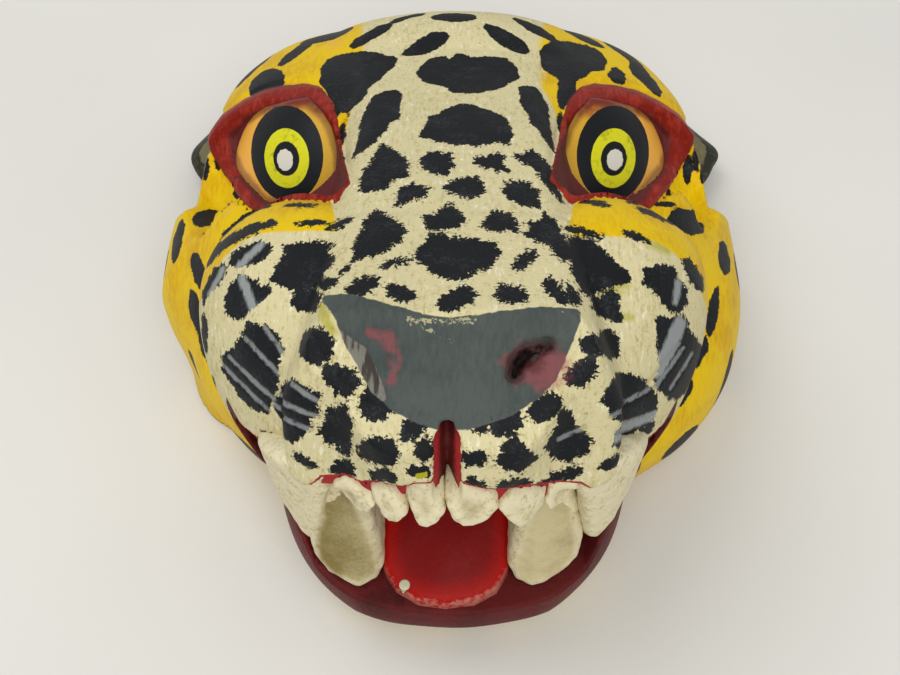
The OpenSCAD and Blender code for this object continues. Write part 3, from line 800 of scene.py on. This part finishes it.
class Paint:
    """Short ways to build a material's nodes."""

    def __init__(self, name):
        self.material = bpy.data.materials.new(name)
        self.material.use_nodes = True
        self.tree = self.material.node_tree
        self.shader = self.tree.nodes["Principled BSDF"]
        self.place = self.node("TexCoord").outputs["Object"]

    def node(self, kind, **settings):
        made = self.tree.nodes.new("ShaderNode" + kind)
        for key, value in settings.items():
            setattr(made, key, value)
        return made

    def put(self, socket, value):
        if isinstance(value, bpy.types.NodeSocket):
            self.tree.links.new(value, socket)
        elif isinstance(value, str):
            socket.default_value = (*srgb(value), 1)
        else:
            socket.default_value = value

    def feed(self, node, **values):
        """Puts values into a node's inputs. An underscore stands for a space in an input's name."""
        for name, value in values.items():
            self.put(node.inputs[name.replace("_", " ")], value)

    def value(self, name):
        return self.node("Attribute", attribute_name=name).outputs["Fac"]

    def math(self, how, a, b):
        made = self.node("Math", operation=how)
        for socket, given in zip(made.inputs, (a, b)):
            self.put(socket, given)
        return made.outputs[0]

    def noise(self, size_mm, detail=2.0, rough=0.5, squeeze=None, place=None):
        """Noise about zero, with features of the given size. A given place is in millimetres."""
        made = self.node("TexNoise")
        unit = MM
        if place:
            unit = 1
        elif squeeze:
            scaled = self.node("Mapping")
            self.feed(scaled, Vector=self.place, Scale=squeeze)
            place = scaled.outputs[0]
        scale = 1 / (size_mm * unit) / 2
        self.feed(made, Vector=place or self.place, Scale=scale, Detail=detail, Roughness=rough)
        return self.math("SUBTRACT", made.outputs["Fac"], 0.5)

    def join(self, x, y, z):
        made = self.node("CombineXYZ")
        for socket, given in zip(made.inputs, (x, y, z)):
            self.put(socket, given)
        return made.outputs[0]

    def step(self, value, low, high):
        made = self.node("MapRange", interpolation_type="SMOOTHSTEP")
        for socket, given in zip(made.inputs, (value, low, high, 0.0, 1.0)):
            self.put(socket, given)
        return made.outputs[0]

    def mix(self, share, a, b):
        made = self.node("Mix", data_type="RGBA")
        self.feed(made, Factor=share, A=a, B=b)
        return made.outputs["Result"]

    def times(self, a, b):
        return self.math("MULTIPLY", a, b)

    def add(self, *terms):
        """Sum of the terms. A pair is a term and its weight."""
        terms = [self.times(*term) if isinstance(term, tuple) else term for term in terms]
        total = terms[0]
        for term in terms[1:]:
            total = self.math("ADD", total, term)
        return total

    def fade(self, a, b, low, high, *terms):
        """Goes from a to b as the sum of the terms goes from low to high."""
        return self.mix(self.step(self.add(*terms), low, high), a, b)

    def zone(self, name, low, high, *terms):
        """Goes from 0 to 1 as a stored distance, with the terms added, goes from low to high."""
        return self.step(self.add(self.value(name), *terms), low, high)

    def finish(self, colour, roughness, height, bump_mm, coat=0.0):
        """Joins colour, roughness and height (in millimetres) to the shader."""
        bump = self.node("Bump")
        self.feed(bump, Strength=1.0, Distance=bump_mm * MM, Height=height)
        self.feed(self.shader, Base_Color=colour, Roughness=roughness, Specular_IOR_Level=SHEEN,
                  Coat_Weight=coat, Coat_Roughness=0.35, Normal=bump.outputs[0])
        return self.material


YELLOW = "#e0bc00"
YELLOW_DEEP = "#cc9c00"
CREAM = "#d0c69a"
CREAM_DARK = "#b9ad79"
LIME = "#a9a21e"
BLACK = "#15171a"
BLACK_WORN = "#2a2e30"
LID_RED = "#7d1c11"
LID_BRIGHT = "#9a3024"
# Painted shade for the lids' inner edge and the eyeball's rim under the lids
LID_PAINTED_SHADE = "#5a1f1f"
SLATE = "#4e5551"
SLATE_DARK = "#3f4643"
GUM_RED = "#9e2b2c"
# Painted shade deep in the groove under the nose
GROOVE_SHADOW = "#4c1612"
MAROON = "#5c1a1a"
MAROON_DARK = "#341010"
TONGUE_RED = "#a00c04"
TONGUE_DEEP = "#780000"
TOOTH = "#ded4b0"
# Painted shade on the teeth's faces
TOOTH_SHADOW = "#80703c"
WOOD = "#b98a56"
WOOD_DARK = "#8a5f35"
SCLERA = "#e9ab45"
RING = "#cfcc1c"
WHITE = "#e9e3c9"
PEACH = "#e0a057"
OLIVE = "#978d55"
GREY = "#8d9190"
WING_GREY = "#77746c"
WING_BROWN = "#3f3a33"
# Painted shadow inside the nostril's cut slit
SLIT_SHADOW = "#120806"
NOSTRIL_RED = "#94464c"
NOSTRIL_SHADOW = "#3a1a12"
# Painted shade in the nostril's hollow
SCLERA_GOLD = "#c79a2c"
# Painted shade on the eyeball under the upper lid
SCLERA_SHADOW = "#8a3420"
RING_DARK = "#a9a416"
PUPIL = "#cfcbbd"
EAR_BLACK = "#2a2a24"
EAR_OLIVE = "#4c4a30"


def head_paint():
    m = Paint("head_paint")
    hair = m.noise(0.3, 3, 0.65)
    fine = m.noise(0.8, 2, 0.6)
    mid = m.noise(2.4, 3, 0.6)
    broad = m.noise(8, 3, 0.55)
    strokes = m.noise(0.34, 3, 0.6, (1, 0.3, 0.3))
    feather = m.value("feather")
    cream_share = m.zone("cream", 0.3, 0.7, (fine, 0.4), (mid, 0.5), (broad, 0.9))
    yellow = m.fade(YELLOW, YELLOW_DEEP, -0.1, 0.25, broad, (strokes, 0.5))
    yellow = m.mix(m.times(m.step(m.noise(5, 3, 0.6), 0.1, 0.24), 0.35), yellow, PEACH)
    cream = m.fade(CREAM, CREAM_DARK, 0.0, 0.26, strokes, (hair, 0.6), (broad, 0.3))
    cream = m.mix(m.times(m.step(m.add(hair, (mid, 0.5)), 0.16, 0.26), 0.8), cream, OLIVE)
    cream = m.mix(m.times(m.step(m.add(strokes, (mid, 0.4)), -0.1, -0.24), 0.8), cream, WHITE)
    lime_here = m.add(m.value("lime"), (m.step(m.noise(3.2, 4, 0.7), 0.14, 0.26), 0.45))
    cream = m.mix(m.math("MINIMUM", lime_here, 0.9), cream, LIME)
    colour = m.mix(cream_share, yellow, cream)
    spot = m.value("spot")
    round_spot = m.join(m.value("bearing_x"), m.value("bearing_y"), m.times(spot, 0.3))
    hairs = m.noise(0.5, 2, 0.6, place=round_spot)
    fuzz = m.times(m.add((hairs, 2.3), (hair, 3.0), (fine, 1.0)), feather)
    dark = m.step(m.add(spot, fuzz), -0.24, -0.02)
    black = m.fade(BLACK, BLACK_WORN, 0.02, 0.3, hair, (mid, 0.8))
    black = m.mix(m.zone("smear", -0.25, 0.5, (strokes, 1.4)), black, GREY)
    colour = m.mix(dark, colour, black)
    colour = m.mix(m.zone("dot", -0.1, 0.1, (fine, 1.2)), colour, RING_DARK)
    lines = m.zone("whisker", -0.15, 0.3, (fine, 0.7))
    colour = m.mix(m.times(lines, 0.8), colour, m.mix(dark, CREAM_DARK, GREY))
    lid = m.zone("lid", -0.1, 0.15, (fine, 0.6), (mid, 0.5))
    lid_red = m.fade(LID_RED, LID_BRIGHT, -0.1, 0.2, mid, (strokes, 0.8))
    # Painted shade: the inner part of each lid darkens where it falls into the eye's socket
    lid_shade = m.zone("lid_in", -0.2, 1.2, (m.noise(1.8, 3, 0.6, (1, 1, 0.5)), 2.6))
    colour = m.mix(lid, colour, m.mix(lid_shade, lid_red, LID_PAINTED_SHADE))
    pad = m.zone("pad", -0.1, 0.15, (fine, 0.7))
    slate = m.fade(SLATE, SLATE_DARK, -0.2, 0.25, broad, (strokes, 0.6))
    wing = m.mix(m.step(m.noise(0.6, 3, 0.6, (1, 0.2, 0.2)), 0.0, 0.14), WING_GREY, WING_BROWN)
    slate = m.mix(m.zone("wing", -0.1, 0.2, (fine, 0.5)), slate, wing)
    scuff = m.zone("scuff", -0.1, 0.3, (hair, 3.0), (mid, 1.6))
    slate = m.mix(m.times(scuff, 0.6), slate, CREAM)
    colour = m.mix(pad, colour, slate)
    nostril = m.zone("nostril", -0.5, 0.9, (fine, 2.4), (mid, 1.6))
    colour = m.mix(m.times(nostril, 0.6), colour, NOSTRIL_RED)
    # Painted shade in the nostril's hollow, and a painted shadow inside its cut slit
    hole = m.zone("hole", -0.2, 1.2, (mid, 1.6), (fine, 1.0))
    colour = m.mix(m.times(hole, 0.7), colour, NOSTRIL_SHADOW)
    colour = m.mix(m.zone("slit", -0.3, 0.7, (fine, 1.6), (mid, 0.8)), colour, SLIT_SHADOW)
    red = m.zone("red", -0.1, 0.12, (fine, 0.5))
    # Painted shade deep in the groove under the nose, where it is cut deepest
    red_shade = m.zone("red_in", 0.0, 1.2, (m.noise(1.2, 4, 0.7), 1.5))
    colour = m.mix(red, colour, m.mix(red_shade, GUM_RED, GROOVE_SHADOW))
    maroon = m.zone("maroon", -0.1, 0.12, (fine, 0.5))
    colour = m.mix(maroon, colour, m.fade(MAROON, MAROON_DARK, -0.1, 0.35, broad, (fine, 0.4)))
    grain = m.noise(0.9, 4, 0.65, (1, 0.12, 1))
    bare = m.zone("bare", -0.2, 0.2, (fine, 0.8))
    colour = m.mix(bare, colour, m.mix(m.step(grain, -0.2, 0.25), WOOD, WOOD_DARK))
    rough = m.add((hair, 0.25), (bare, 0.3), (cream_share, 0.12), 0.5)
    stipple = m.times(m.times(m.add(hair, strokes), m.add(feather, 0.15)), 0.9)
    height = m.add(stipple, (fine, 0.5), m.times(grain, m.times(bare, 0.5)), (dark, 0.2),
                   (lines, -0.8))
    return m.finish(colour, rough, height, 0.16)


def plain_paint(name, main, worn, rough, grain_mm=0.6, coat=0.0):
    m = Paint(name)
    fine = m.noise(grain_mm, 3, 0.6)
    broad = m.noise(grain_mm * 7, 3, 0.55)
    colour = m.fade(main, worn, 0.0, 0.35, fine, (broad, 1.2))
    height = m.add(fine, (broad, 0.6))
    return m.finish(colour, m.add((fine, 0.3), rough), height, 0.1, coat)


# ---- The head ----

# The pad's outline, across and down from the tip of the nose
PAD = pairs(-20.8,-3.6, -16,-3.6, -11,-2.2, -4,0, 0,0.4, 6,-0.4, 13,-1.4, 19.3,-1, 19,1.2, 17.2,5.7,
    15.6,9.6, 12.4,12.8, 7.8,15.6, 2.2,17.2, -2.8,17.2, -6.9,15.6, -9.2,14.2, -12.2,11.6, -14.2,8,
    -16.4,4.2, -17.8,0.4)

# Worn places along the pad's top edge, across and down
SCUFFS = [
    (-6.5, 0.8, 3, 0.9, 0.8), (-4, 2.2, 0.6, 4.4, 0.5), (14, -0.6, 19, -0.2, 0.3),
    (4.6, 8.4, 5.2, 9.4, 0.1)]


def paint_zones(piece, points):
    """Stores where each colour of the head lies, as distances in millimetres, positive within."""
    p = points.T
    face = outer(p)
    skin = np.abs(face) < 2.5
    x = np.abs(p[0] - LEAN)
    lid, lid_in = -lids(p, LIDS), -lids(p, LIDS_IN)
    across, down, above = pad_plan(p)
    on_pad = 2.6 - np.abs(above + 0.4)
    pad = least(-outline(across, down, PAD), on_pad + 3 * (np.abs(across) > 8))
    wing = most(-outline(across, down, WING_LEFT), -2.2 - outline(across, down, WING_RIGHT))
    bowl = np.hypot((across - SLIT_BOWL[0]) / 4.8, (down - SLIT_BOWL[1]) / 3.8)
    nostril = most(2 * (1 - bowl), 0.3 - to_strokes(across, down, RED_STROKE))
    slit = 0.8 - to_strokes(across, down, SLIT)
    # Where painted shade darkens the nostril's hollow
    shade = 1.5 * (1 - np.hypot((across - 11.4) / 3.4, (down - 7) / 2.6))
    nostril, slit, shade = (np.where((p[2] > 62) & skin | (slit > 0) & (p[2] > 64), v, -FAR)
                            for v in (nostril, slit, shade))
    groove = lip_groove(p)
    mouth = mouth_wedge(p)
    in_mouth = 0.9 - np.abs(mouth)
    on_gum = least(0.9 - np.abs(gum(p, face)), 0.2 - mouth)
    low = p[2] < 36
    maroon = np.where(low | (p[1] > MOUTH_BACK_Y - 1.2), in_mouth, -FAR)
    rim = least(p[2] - 7 - 0.3 * most(0, p[0] - 4), 24.5 + 1.25 * most(0, x - 24) - p[2])
    rim = least(rim, -38 - p[1], 3 - np.abs(face))
    maroon = most(maroon, rim)
    red = most(on_gum, np.where(groove > 0.25, groove - 0.25, -FAR))
    red = np.where(mouth < 0.9, most(red, np.where(~low, in_mouth, -FAR)), red)
    bare = most(1.8 - np.abs(hollow(p)), 0.6 - p[2])
    bare = np.where(p[2] < 40, bare, -FAR)
    a, up_face, _ = on_drawing(p, FRONT)
    half = 15.5 + 0.14 * np.clip(up_face - 45, 0, 40)
    crown = smooth(half + 5, half - 3, x) * smooth(-12, -6, p[1] - 1.4 * (p[2] - 70)) * (p[2] > 8)
    snout = least(muzzle(p), nose(p)) - least(skull(p), cheeks(p), jaw(p))
    on_snout = smooth(0.9, -0.9, snout)
    # The cream of the puffs stops below the eyes
    line = np.where(p[0] < 0, 22.3, 21.2) - 0.06 * most(0, x - 31) ** 2
    on_snout = on_snout * smooth(line + 0.9, line - 0.9, up_face - 9 * (x < 17))
    ridge = bridge(p)
    on_bridge = smooth(0.8, -0.5, ridge - least(skull(p), cheeks(p))) * smooth(-14, 0, p[2] - 45)
    on_bridge = on_bridge * smooth(1.6, 0.6, ridge)
    cream = np.clip(most(crown, on_snout, on_bridge), 0, 1)
    front = FAR * (p[2] < 38)
    inside, bearing = spot_values(p)
    fuzz = 0.25 + 0.25 * smooth(56, 44, up_face) * (x < 22) + 0.4 * smooth(0.5, -1, snout)
    keep(piece, lid=np.where(skin, lid, -FAR), lid_in=lid_in + 1.6, pad=pad, nostril=nostril,
         slit=slit, hole=shade, wing=wing, scuff=-0.6 - to_strokes(across, down, SCUFFS), red=red,
         red_in=groove - 1.4, maroon=maroon, bare=bare, cream=cream, spot=inside,
         bearing_x=bearing[0], bearing_y=bearing[1], feather=fuzz,
         whisker=0.45 - whisker_distance(p), smear=-to_strokes(a, up_face, SMEARS) - front,
         dot=-to_strokes(a, up_face, DOT) - front,
         lime=0.75 * smooth(0.7, -0.5, to_strokes(a, up_face, LIMES) + front))


def add_piece(name, field, low, high, nodes, material, step=SMALL_STEP):
    """Carves a piece that stands for a CAD node, and gives it its material and slot."""
    piece, points = carve(name, field, low, high, step)
    piece.data.materials.append(material)
    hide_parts(*nodes)
    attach(piece, "root")
    return piece, points


def make_head():
    piece, points = carve("head_carving", head, (-61, -73, 0), (62, 79, 82), HEAD_STEP, True)
    paint_zones(piece, points)
    piece.data.materials.append(head_paint())
    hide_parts("head")
    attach(piece, "root")


make_head()


# ---- The eyes ----

# The painted rings are slightly oval: the directions of their two axes on the eye's drawing
RING_WIDE = (0.885, 0.46)
RING_TALL = (-0.2, 1.0)
# Each ring's middle and radius
RINGS = {"pupil": (0.05, 0.3, 2.2), "well": (-0.3, 0.4, 3.6),
         "iris": (-0.4, 0.5, 6.2), "disc": (-0.6, 1.5, 10.1)}


def ring_distance(u, v, ring):
    x, y, radius = RINGS[ring]
    turn = RING_WIDE[0] * RING_TALL[1] - RING_WIDE[1] * RING_TALL[0]
    wide = ((u - x) * RING_TALL[1] - (v - y) * RING_TALL[0]) / turn
    tall = ((v - y) * RING_WIDE[0] - (u - x) * RING_WIDE[1]) / turn
    return radius - np.hypot(wide, tall)


def eye_field(side):
    def field(p):
        u, v, w = eye_frame(p, side)
        dome = np.sqrt((u + 1) ** 2 + (v - 1) ** 2 + (w - 3.5 + EYE_BULGE_R) ** 2) - EYE_BULGE_R
        a, b = eye_plan(p, side)
        return trim(most(dome, -4 - w), outline(a, b, LIDS_IN) - 0.9, 0.8)
    return field


def eye_material():
    m = Paint("eye_paint")
    fine = m.noise(0.5, 3, 0.6)
    mid = m.noise(2.2, 3, 0.6)
    white = m.mix(m.zone("toward_nose", -3, 6, (mid, 6)), SCLERA, SCLERA_GOLD)
    # Painted shade on the eyeball: up and towards the nose under the upper lid, and along its rim
    # under the lids
    white = m.mix(m.zone("corner", -1, 3.4, (mid, 6), (fine, 2)), white, SCLERA_SHADOW)
    rim = m.zone("rim", 1.4, 0.1, (mid, 1.4))
    white = m.mix(m.times(rim, 0.6), white, LID_PAINTED_SHADE)
    edge = m.times(fine, 0.25)
    colour = m.mix(m.zone("disc", -0.07, 0.07, edge), white, BLACK)
    ring = m.fade(RING, RING_DARK, 0, 0.3, fine, mid)
    colour = m.mix(m.zone("iris", -0.07, 0.07, edge), colour, ring)
    colour = m.mix(m.zone("well", -0.07, 0.07, edge), colour, BLACK)
    colour = m.mix(m.zone("pupil", -0.1, 0.1, (fine, 0.9)), colour, PUPIL)
    return m.finish(colour, m.add((fine, 0.2), 0.42), m.add(fine, mid), 0.05, 0.05)


def make_eyes():
    material = eye_material()
    for name, side in (("left", -1), ("right", 1)):
        x, y, z = EYE
        piece, points = add_piece("eye_dome_" + name, eye_field(side),
                                  (side * x - 18, y - 19, z - 16), (side * x + 18, y + 21, z + 16),
                                  ["eye_" + name], material)
        u, v = eye_plan(points.T, side)
        rings = {ring: ring_distance(u, v, ring) for ring in RINGS}
        keep(piece, toward_nose=-u + 2, corner=0.8 * v - 0.4 * u - 8.4,
             rim=-outline(u, v, LIDS_IN), **rings)


make_eyes()


# ---- The teeth ----

# The front of each upper tooth, across and up (x, z), from the viewer's left to right
INCISORS = [
    pairs(-18.3,54.6, -17,56, -15.4,55.8, -14.2,54.6, -12.6,55.2, -11.9,53.8, -14.3,49.2, -15.9,49,
          -18.3,49.4, -18.9,52),
    pairs(-12.3,57.4, -10.2,59.2, -8.4,59, -7.4,57.8, -6.6,56.8, -6.7,55, -8.2,52.9, -9.7,51.8,
          -10.9,53, -12.2,55.2),
    pairs(-5.6,62.4, -4,63.4, -2.5,62.2, -1.6,60.4, -1.2,59, -0.8,57, -1.7,54.9, -3.4,53.3,
          -4.9,53.6, -6,55.7, -6.7,57.6, -6.8,59.2, -6.2,60.8),
    pairs(0.8,62.2, 2.5,62.8, 4.5,61.2, 6.4,60.2, 7.3,58.4, 7.4,56.6, 5.8,55, 3.8,53.4, 1.8,53.9,
          0.3,55.8, -0.6,58.2, -0.2,60.5),
    pairs(9.6,59, 11.7,58, 13.4,56.8, 15.1,54.4, 15,52.2, 14,50.8, 12.5,50.2, 10.8,51, 9.1,53,
          7.7,56, 7.9,57.4),
    pairs(17.2,55.2, 20,54.6, 21,52, 20.4,48.4, 18.6,46.8, 16.6,47.8, 15.5,51.5, 15.9,54.6)]


def tooth_rough(p):
    return 0.07 * waves(p, 1.1, 31) + 0.1 * waves(p, 2.6, 32)


def incisor_field(front):
    def field(p):
        face = outer(p)
        notch = lip_groove(p) * smooth(58, 61, p[2])
        shell = trim(face + 0.1 + notch, -face - 4.4, 0.6)
        return trim(outline(p[0], p[2], front) - 0.25, shell, 1.4) + tooth_rough(p)
    return field


# The upper canines wrap round a post at each corner of the mouth: the post's place,
# and their outline, measured round it and up
CANINE_POST = (17, -44)
CANINE = pairs(3.4,58, 10,57, 17,53, 24,47, 24.6,43, 22.6,38, 19,33, 15.4,28, 13,25, 10.4,24.3,
    8.6,26.6, 7,34, 5.2,44, 3.6,50)


def canine_field(side):
    def field(p):
        x, y = side * (p[0] - LEAN) - CANINE_POST[0], p[1] - CANINE_POST[1]
        far = np.hypot(x, y)
        round_post = 17 * np.arctan2(x, -y)
        front = far - (15.4 + 0.065 * (p[2] - 25))
        shell = trim(front, -front - 5, 0.6)
        return trim(outline(round_post, p[2], CANINE), shell, 2.2) + tooth_rough(p)
    return field


# The middle of the jaw's tooth row
JAW_X = LEAN - 1.2
# The front of a lower canine, outwards from the middle of the jaw and up
LOWER_CANINE = pairs(12.4,20.8, 16,20.2, 21.4,21.4, 24,23.4, 24.6,27, 23.6,33, 21.6,45, 15.6,47,
    13.2,40, 11.6,31, 11,24)


def lower_canine_field(side):
    def field(p):
        x = side * (p[0] - JAW_X)
        front = (-64.2 + 0.26 * (p[2] - 20) + 0.035 * (x - 16) ** 2
                 + 0.22 * np.abs(x - 15.5) - p[1]) * 0.92
        back = p[1] + 51 - 0.1 * (p[2] - 20)
        edge = outline(x, p[2], LOWER_CANINE)
        dish = 0.5 * smooth(-1.2, -3.2, edge)
        return trim(edge, trim(front + dish, back, 1), 1.6) + tooth_rough(p)
    return field


def tooth_material(name, face_colour):
    """Tooth paint: pale at the edges, partly wear and partly painted light; the other colour, with
    painted shade, on the face between them.
    """
    m = Paint(name)
    fine = m.noise(0.35, 3, 0.65)
    mid = m.noise(1.3, 3, 0.6)
    broad = m.noise(4, 2, 0.5)
    base = m.fade(TOOTH, CREAM_DARK, 0.0, 0.3, fine, (mid, 0.8))
    base = m.mix(m.times(m.step(fine, 0.12, 0.25), 0.6), base, OLIVE)
    # Painted shade over the face, as much as the stored shade says
    inner = m.mix(m.zone("shade", 0, 1, (broad, 0.8), (fine, 0.5)), face_colour, TOOTH_SHADOW)
    # The pale edges are partly wear and partly painted light where the edges catch it
    share = m.zone("inward", 0.3, 2.6, (mid, 1.2), (broad, 1.6))
    colour = m.mix(share, base, inner)
    return m.finish(colour, m.add((fine, 0.3), 0.5), m.add((fine, 1.4), mid), 0.14)


def make_teeth():
    pale = tooth_material("tooth_paint", "#d2c8a0")
    # The lower canines' face colour is darker: a shaded copy of the tooth paint
    shaded = tooth_material("tooth_paint_shaded", "#c6b98e")
    for i, front in enumerate(INCISORS):
        xs, zs = zip(*front)
        piece, points = add_piece("incisor_%d" % (i + 1), incisor_field(front),
                                  (min(xs) - 1, -72, min(zs) - 1), (max(xs) + 1, -50, max(zs) + 1),
                                  ["upper_incisor_%d" % (i + 1)], pale)
        # The incisors' faces get a little painted shade; their edges stay pale
        inward = -outline(points[:, 0], points[:, 2], front) - 0.9
        keep(piece, inward=inward, shade=np.full(len(points), 0.3))
    for name, side in (("left", -1), ("right", 1)):
        middle = LEAN + side * 24
        piece, points = add_piece("fang_upper_" + name, canine_field(side),
                                  (middle - 13, -64, 22), (middle + 13, -38, 60),
                                  ["upper_canine_" + name], pale)
        keep(piece, inward=np.full(len(points), -FAR), shade=np.zeros(len(points)))
        middle = JAW_X + side * 17.5
        piece, points = add_piece("fang_lower_" + name, lower_canine_field(side),
                                  (middle - 9, -70, 16), (middle + 9, -48, 51),
                                  ["lower_canine_" + name], shaded)
        x = side * (points[:, 0] - JAW_X)
        # Painted shade: the left lower canine darker than the right, each darker towards its outer
        # side
        keep(piece, inward=-outline(x, points[:, 2], LOWER_CANINE) + 0.2 - 3 * (points[:, 1] > -57),
             shade=0.36 - 0.3 * side + 0.055 * (x - 17))


make_teeth()


# ---- The tongue and its nail ----

# The tongue's plan, across and up the face
TONGUE = pairs(-11,-36, -11.6,-57, -11.2,-61.2, -9,-64.8, -5,-67.1, 0,-68, 5,-67.3, 9,-64.8,
    11.2,-61.2, 11.6,-57, 11,-36)
# Middle and radius of the nail's head
NAIL = (-8.1, -64.7, 0.75)


def tongue_field(p):
    top = p[2] - 23.2 - 0.36 * (p[1] + 66.7) + 0.012 * p[0] ** 2
    body = trim(outline(p[0] - JAW_X, p[1], TONGUE), most(top * 0.94, 18.5 - p[2]), 1.3)
    hole = np.hypot(p[0] - NAIL[0], p[1] - NAIL[1]) - NAIL[2]
    return most(body + 0.1 * waves(p, 5, 41), -most(hole, 20.5 - p[2]))


def tongue_material():
    m = Paint("tongue_paint")
    fine = m.noise(0.5, 3, 0.6)
    broad = m.noise(5, 2, 0.5)
    inner = m.zone("inward", 0.6, 4.2, (broad, 3))
    colour = m.mix(inner, TONGUE_RED, TONGUE_DEEP)
    worn = m.zone("inward", 0.5, -0.1, (fine, 2.4), (broad, 1))
    colour = m.mix(m.times(worn, m.value("front")), colour, "#b98374")
    return m.finish(colour, m.add((fine, 0.2), 0.5), fine, 0.06)


def make_tongue():
    piece, points = add_piece("tongue_tab", tongue_field, (-13.5, -70, 17), (12.5, -35, 40),
                              ["tongue"], tongue_material())
    inward = -outline(points[:, 0] - JAW_X, points[:, 1], TONGUE)
    keep(piece, inward=inward, front=smooth(-59, -65, points[:, 1]) * 0.6)


def nail_field(p):
    far = np.hypot(p[0] - NAIL[0], p[1] - NAIL[1]) - NAIL[2] - 0.25 * (p[2] > 23.1)
    return trim(far, most(p[2] - 23.8 - 0.1 * (p[0] - NAIL[0]), 20.8 - p[2]), 0.4)


make_tongue()
add_piece("nail_head", nail_field, (-10, -69, 20), (-5, -63, 26), ["tongue_nail"],
          plain_paint("nail_metal", "#c9c3a4", "#8d8a78", 0.5, 0.3, 0.1), 0.2)


# ---- The ears ----

# Three corners of an ear: outwards from the middle, up the face and out of it
EAR = [(53, 38, 7), (51, 69, 8), (51, 53, 18.4)]
# and its tip on each side
EAR_TIP = {-1: (61.6, 54, 7.5), 1: (62.6, 54, 7.5)}
# How far the ear's faces lie outside its corners
EAR_ROUND = 1.7
# Middle and radius of the cup in its front
EAR_CUP = (61, 49, 19, 9)


def ear_cup(p, side):
    x, y, z = side * (p[0] - LEAN) - EAR_CUP[0], p[1] - EAR_CUP[1], p[2] - EAR_CUP[2]
    return np.sqrt(x ** 2 + y ** 2 + z ** 2) - EAR_CUP[3]


def ear_field(side):
    corners = [np.array(c, float) for c in EAR + [EAR_TIP[side]]]
    middle = sum(corners) / 4
    faces = []
    for i in range(4):
        a, b, c = (corners[j] for j in range(4) if j != i)
        way = np.cross(b - a, c - a)
        way /= np.linalg.norm(way)
        if way @ (middle - a) > 0:
            way = -way
        faces.append((way, way @ a))

    def field(p):
        x = side * (p[0] - LEAN)
        body = None
        for way, level in faces:
            d = way[0] * x + way[1] * p[1] + way[2] * p[2] - level - EAR_ROUND
            body = d if body is None else trim(body, d, 2.4)
        return trim(body, -ear_cup(p, side), 0.8) + 0.12 * waves(p, 4, 51)
    return field


def ear_material():
    m = Paint("ear_paint")
    fine = m.noise(0.5, 3, 0.6)
    mid = m.noise(2, 3, 0.6)
    dark = m.fade(EAR_BLACK, EAR_OLIVE, -0.05, 0.3, fine, mid)
    cream = m.fade(CREAM, YELLOW, 0, 0.3, fine, (mid, 0.6))
    colour = m.mix(m.times(m.zone("cup", -0.15, 0.2, (fine, 0.8)), 0.2), dark, cream)
    return m.finish(colour, m.add((fine, 0.3), 0.5), m.add(fine, mid), 0.12)


def make_ears():
    material = ear_material()
    for name, side in (("left", -1), ("right", 1)):
        low, high = sorted((LEAN + side * 44, LEAN + side * 67))
        piece, points = add_piece("ear_leaf_" + name, ear_field(side), (low, 32, 2), (high, 75, 25),
                                  ["ear_" + name], material)
        keep(piece, cup=0.5 - ear_cup(points.T, side))


make_ears()
for side_name in ("left", "right"):
    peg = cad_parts["ear_peg_" + side_name]
    peg.data.materials.clear()
    peg.data.materials.append(plain_paint("peg_wood_" + side_name, WOOD, WOOD_DARK, 0.7))


# ---- The table, the light and the camera ----

def make_floor():
    mesh = bpy.data.meshes.new("table_top")
    half = 3.0
    corners = [(-half, -half, 0), (half, -half, 0), (half, half, 0), (-half, half, 0)]
    mesh.from_pydata(corners, [], [(0, 1, 2, 3)])
    floor = add_object("table_top", mesh)
    m = Paint("table_paint")
    cloud = m.noise(60, 2, 0.5)
    floor.data.materials.append(m.finish(
        m.mix(m.step(cloud, -0.3, 0.3), "#dcdad4", "#d6d4ce"), 0.6, cloud, 0.01))


def make_light(name, place, target, size, power):
    data = bpy.data.lights.new(name, "AREA")
    data.shape = "DISK"
    data.size = size
    data.energy = power
    lamp = add_object(name, data)
    lamp.location = place
    lamp.rotation_euler = (Vector(target) - Vector(place)).to_track_quat("-Z", "Y").to_euler()


make_floor()
make_light("key_light", (-0.45, 0.2, 1.0), (0, 0, 0.03), 0.8, 4.0)
make_light("fill_light", (0.1, -0.7, 0.95), (0, 0, 0.03), 0.9, 7.0)
world = bpy.data.worlds.new("studio")
world.use_nodes = True
world.node_tree.nodes["Background"].inputs["Color"].default_value = (1, 1, 1, 1)
world.node_tree.nodes["Background"].inputs["Strength"].default_value = 0.5
bpy.context.scene.world = world
bpy.context.scene.view_settings.view_transform = "Standard"

camera_data = bpy.data.cameras.new("camera")
camera_data.lens = 50
camera_data.sensor_width = 36
camera = add_object("camera", camera_data)
camera.location = (-LEAN * MM, -0.15875, 0.232)
camera.rotation_euler = (math.radians(34.6), 0, 0)
bpy.context.scene.camera = camera
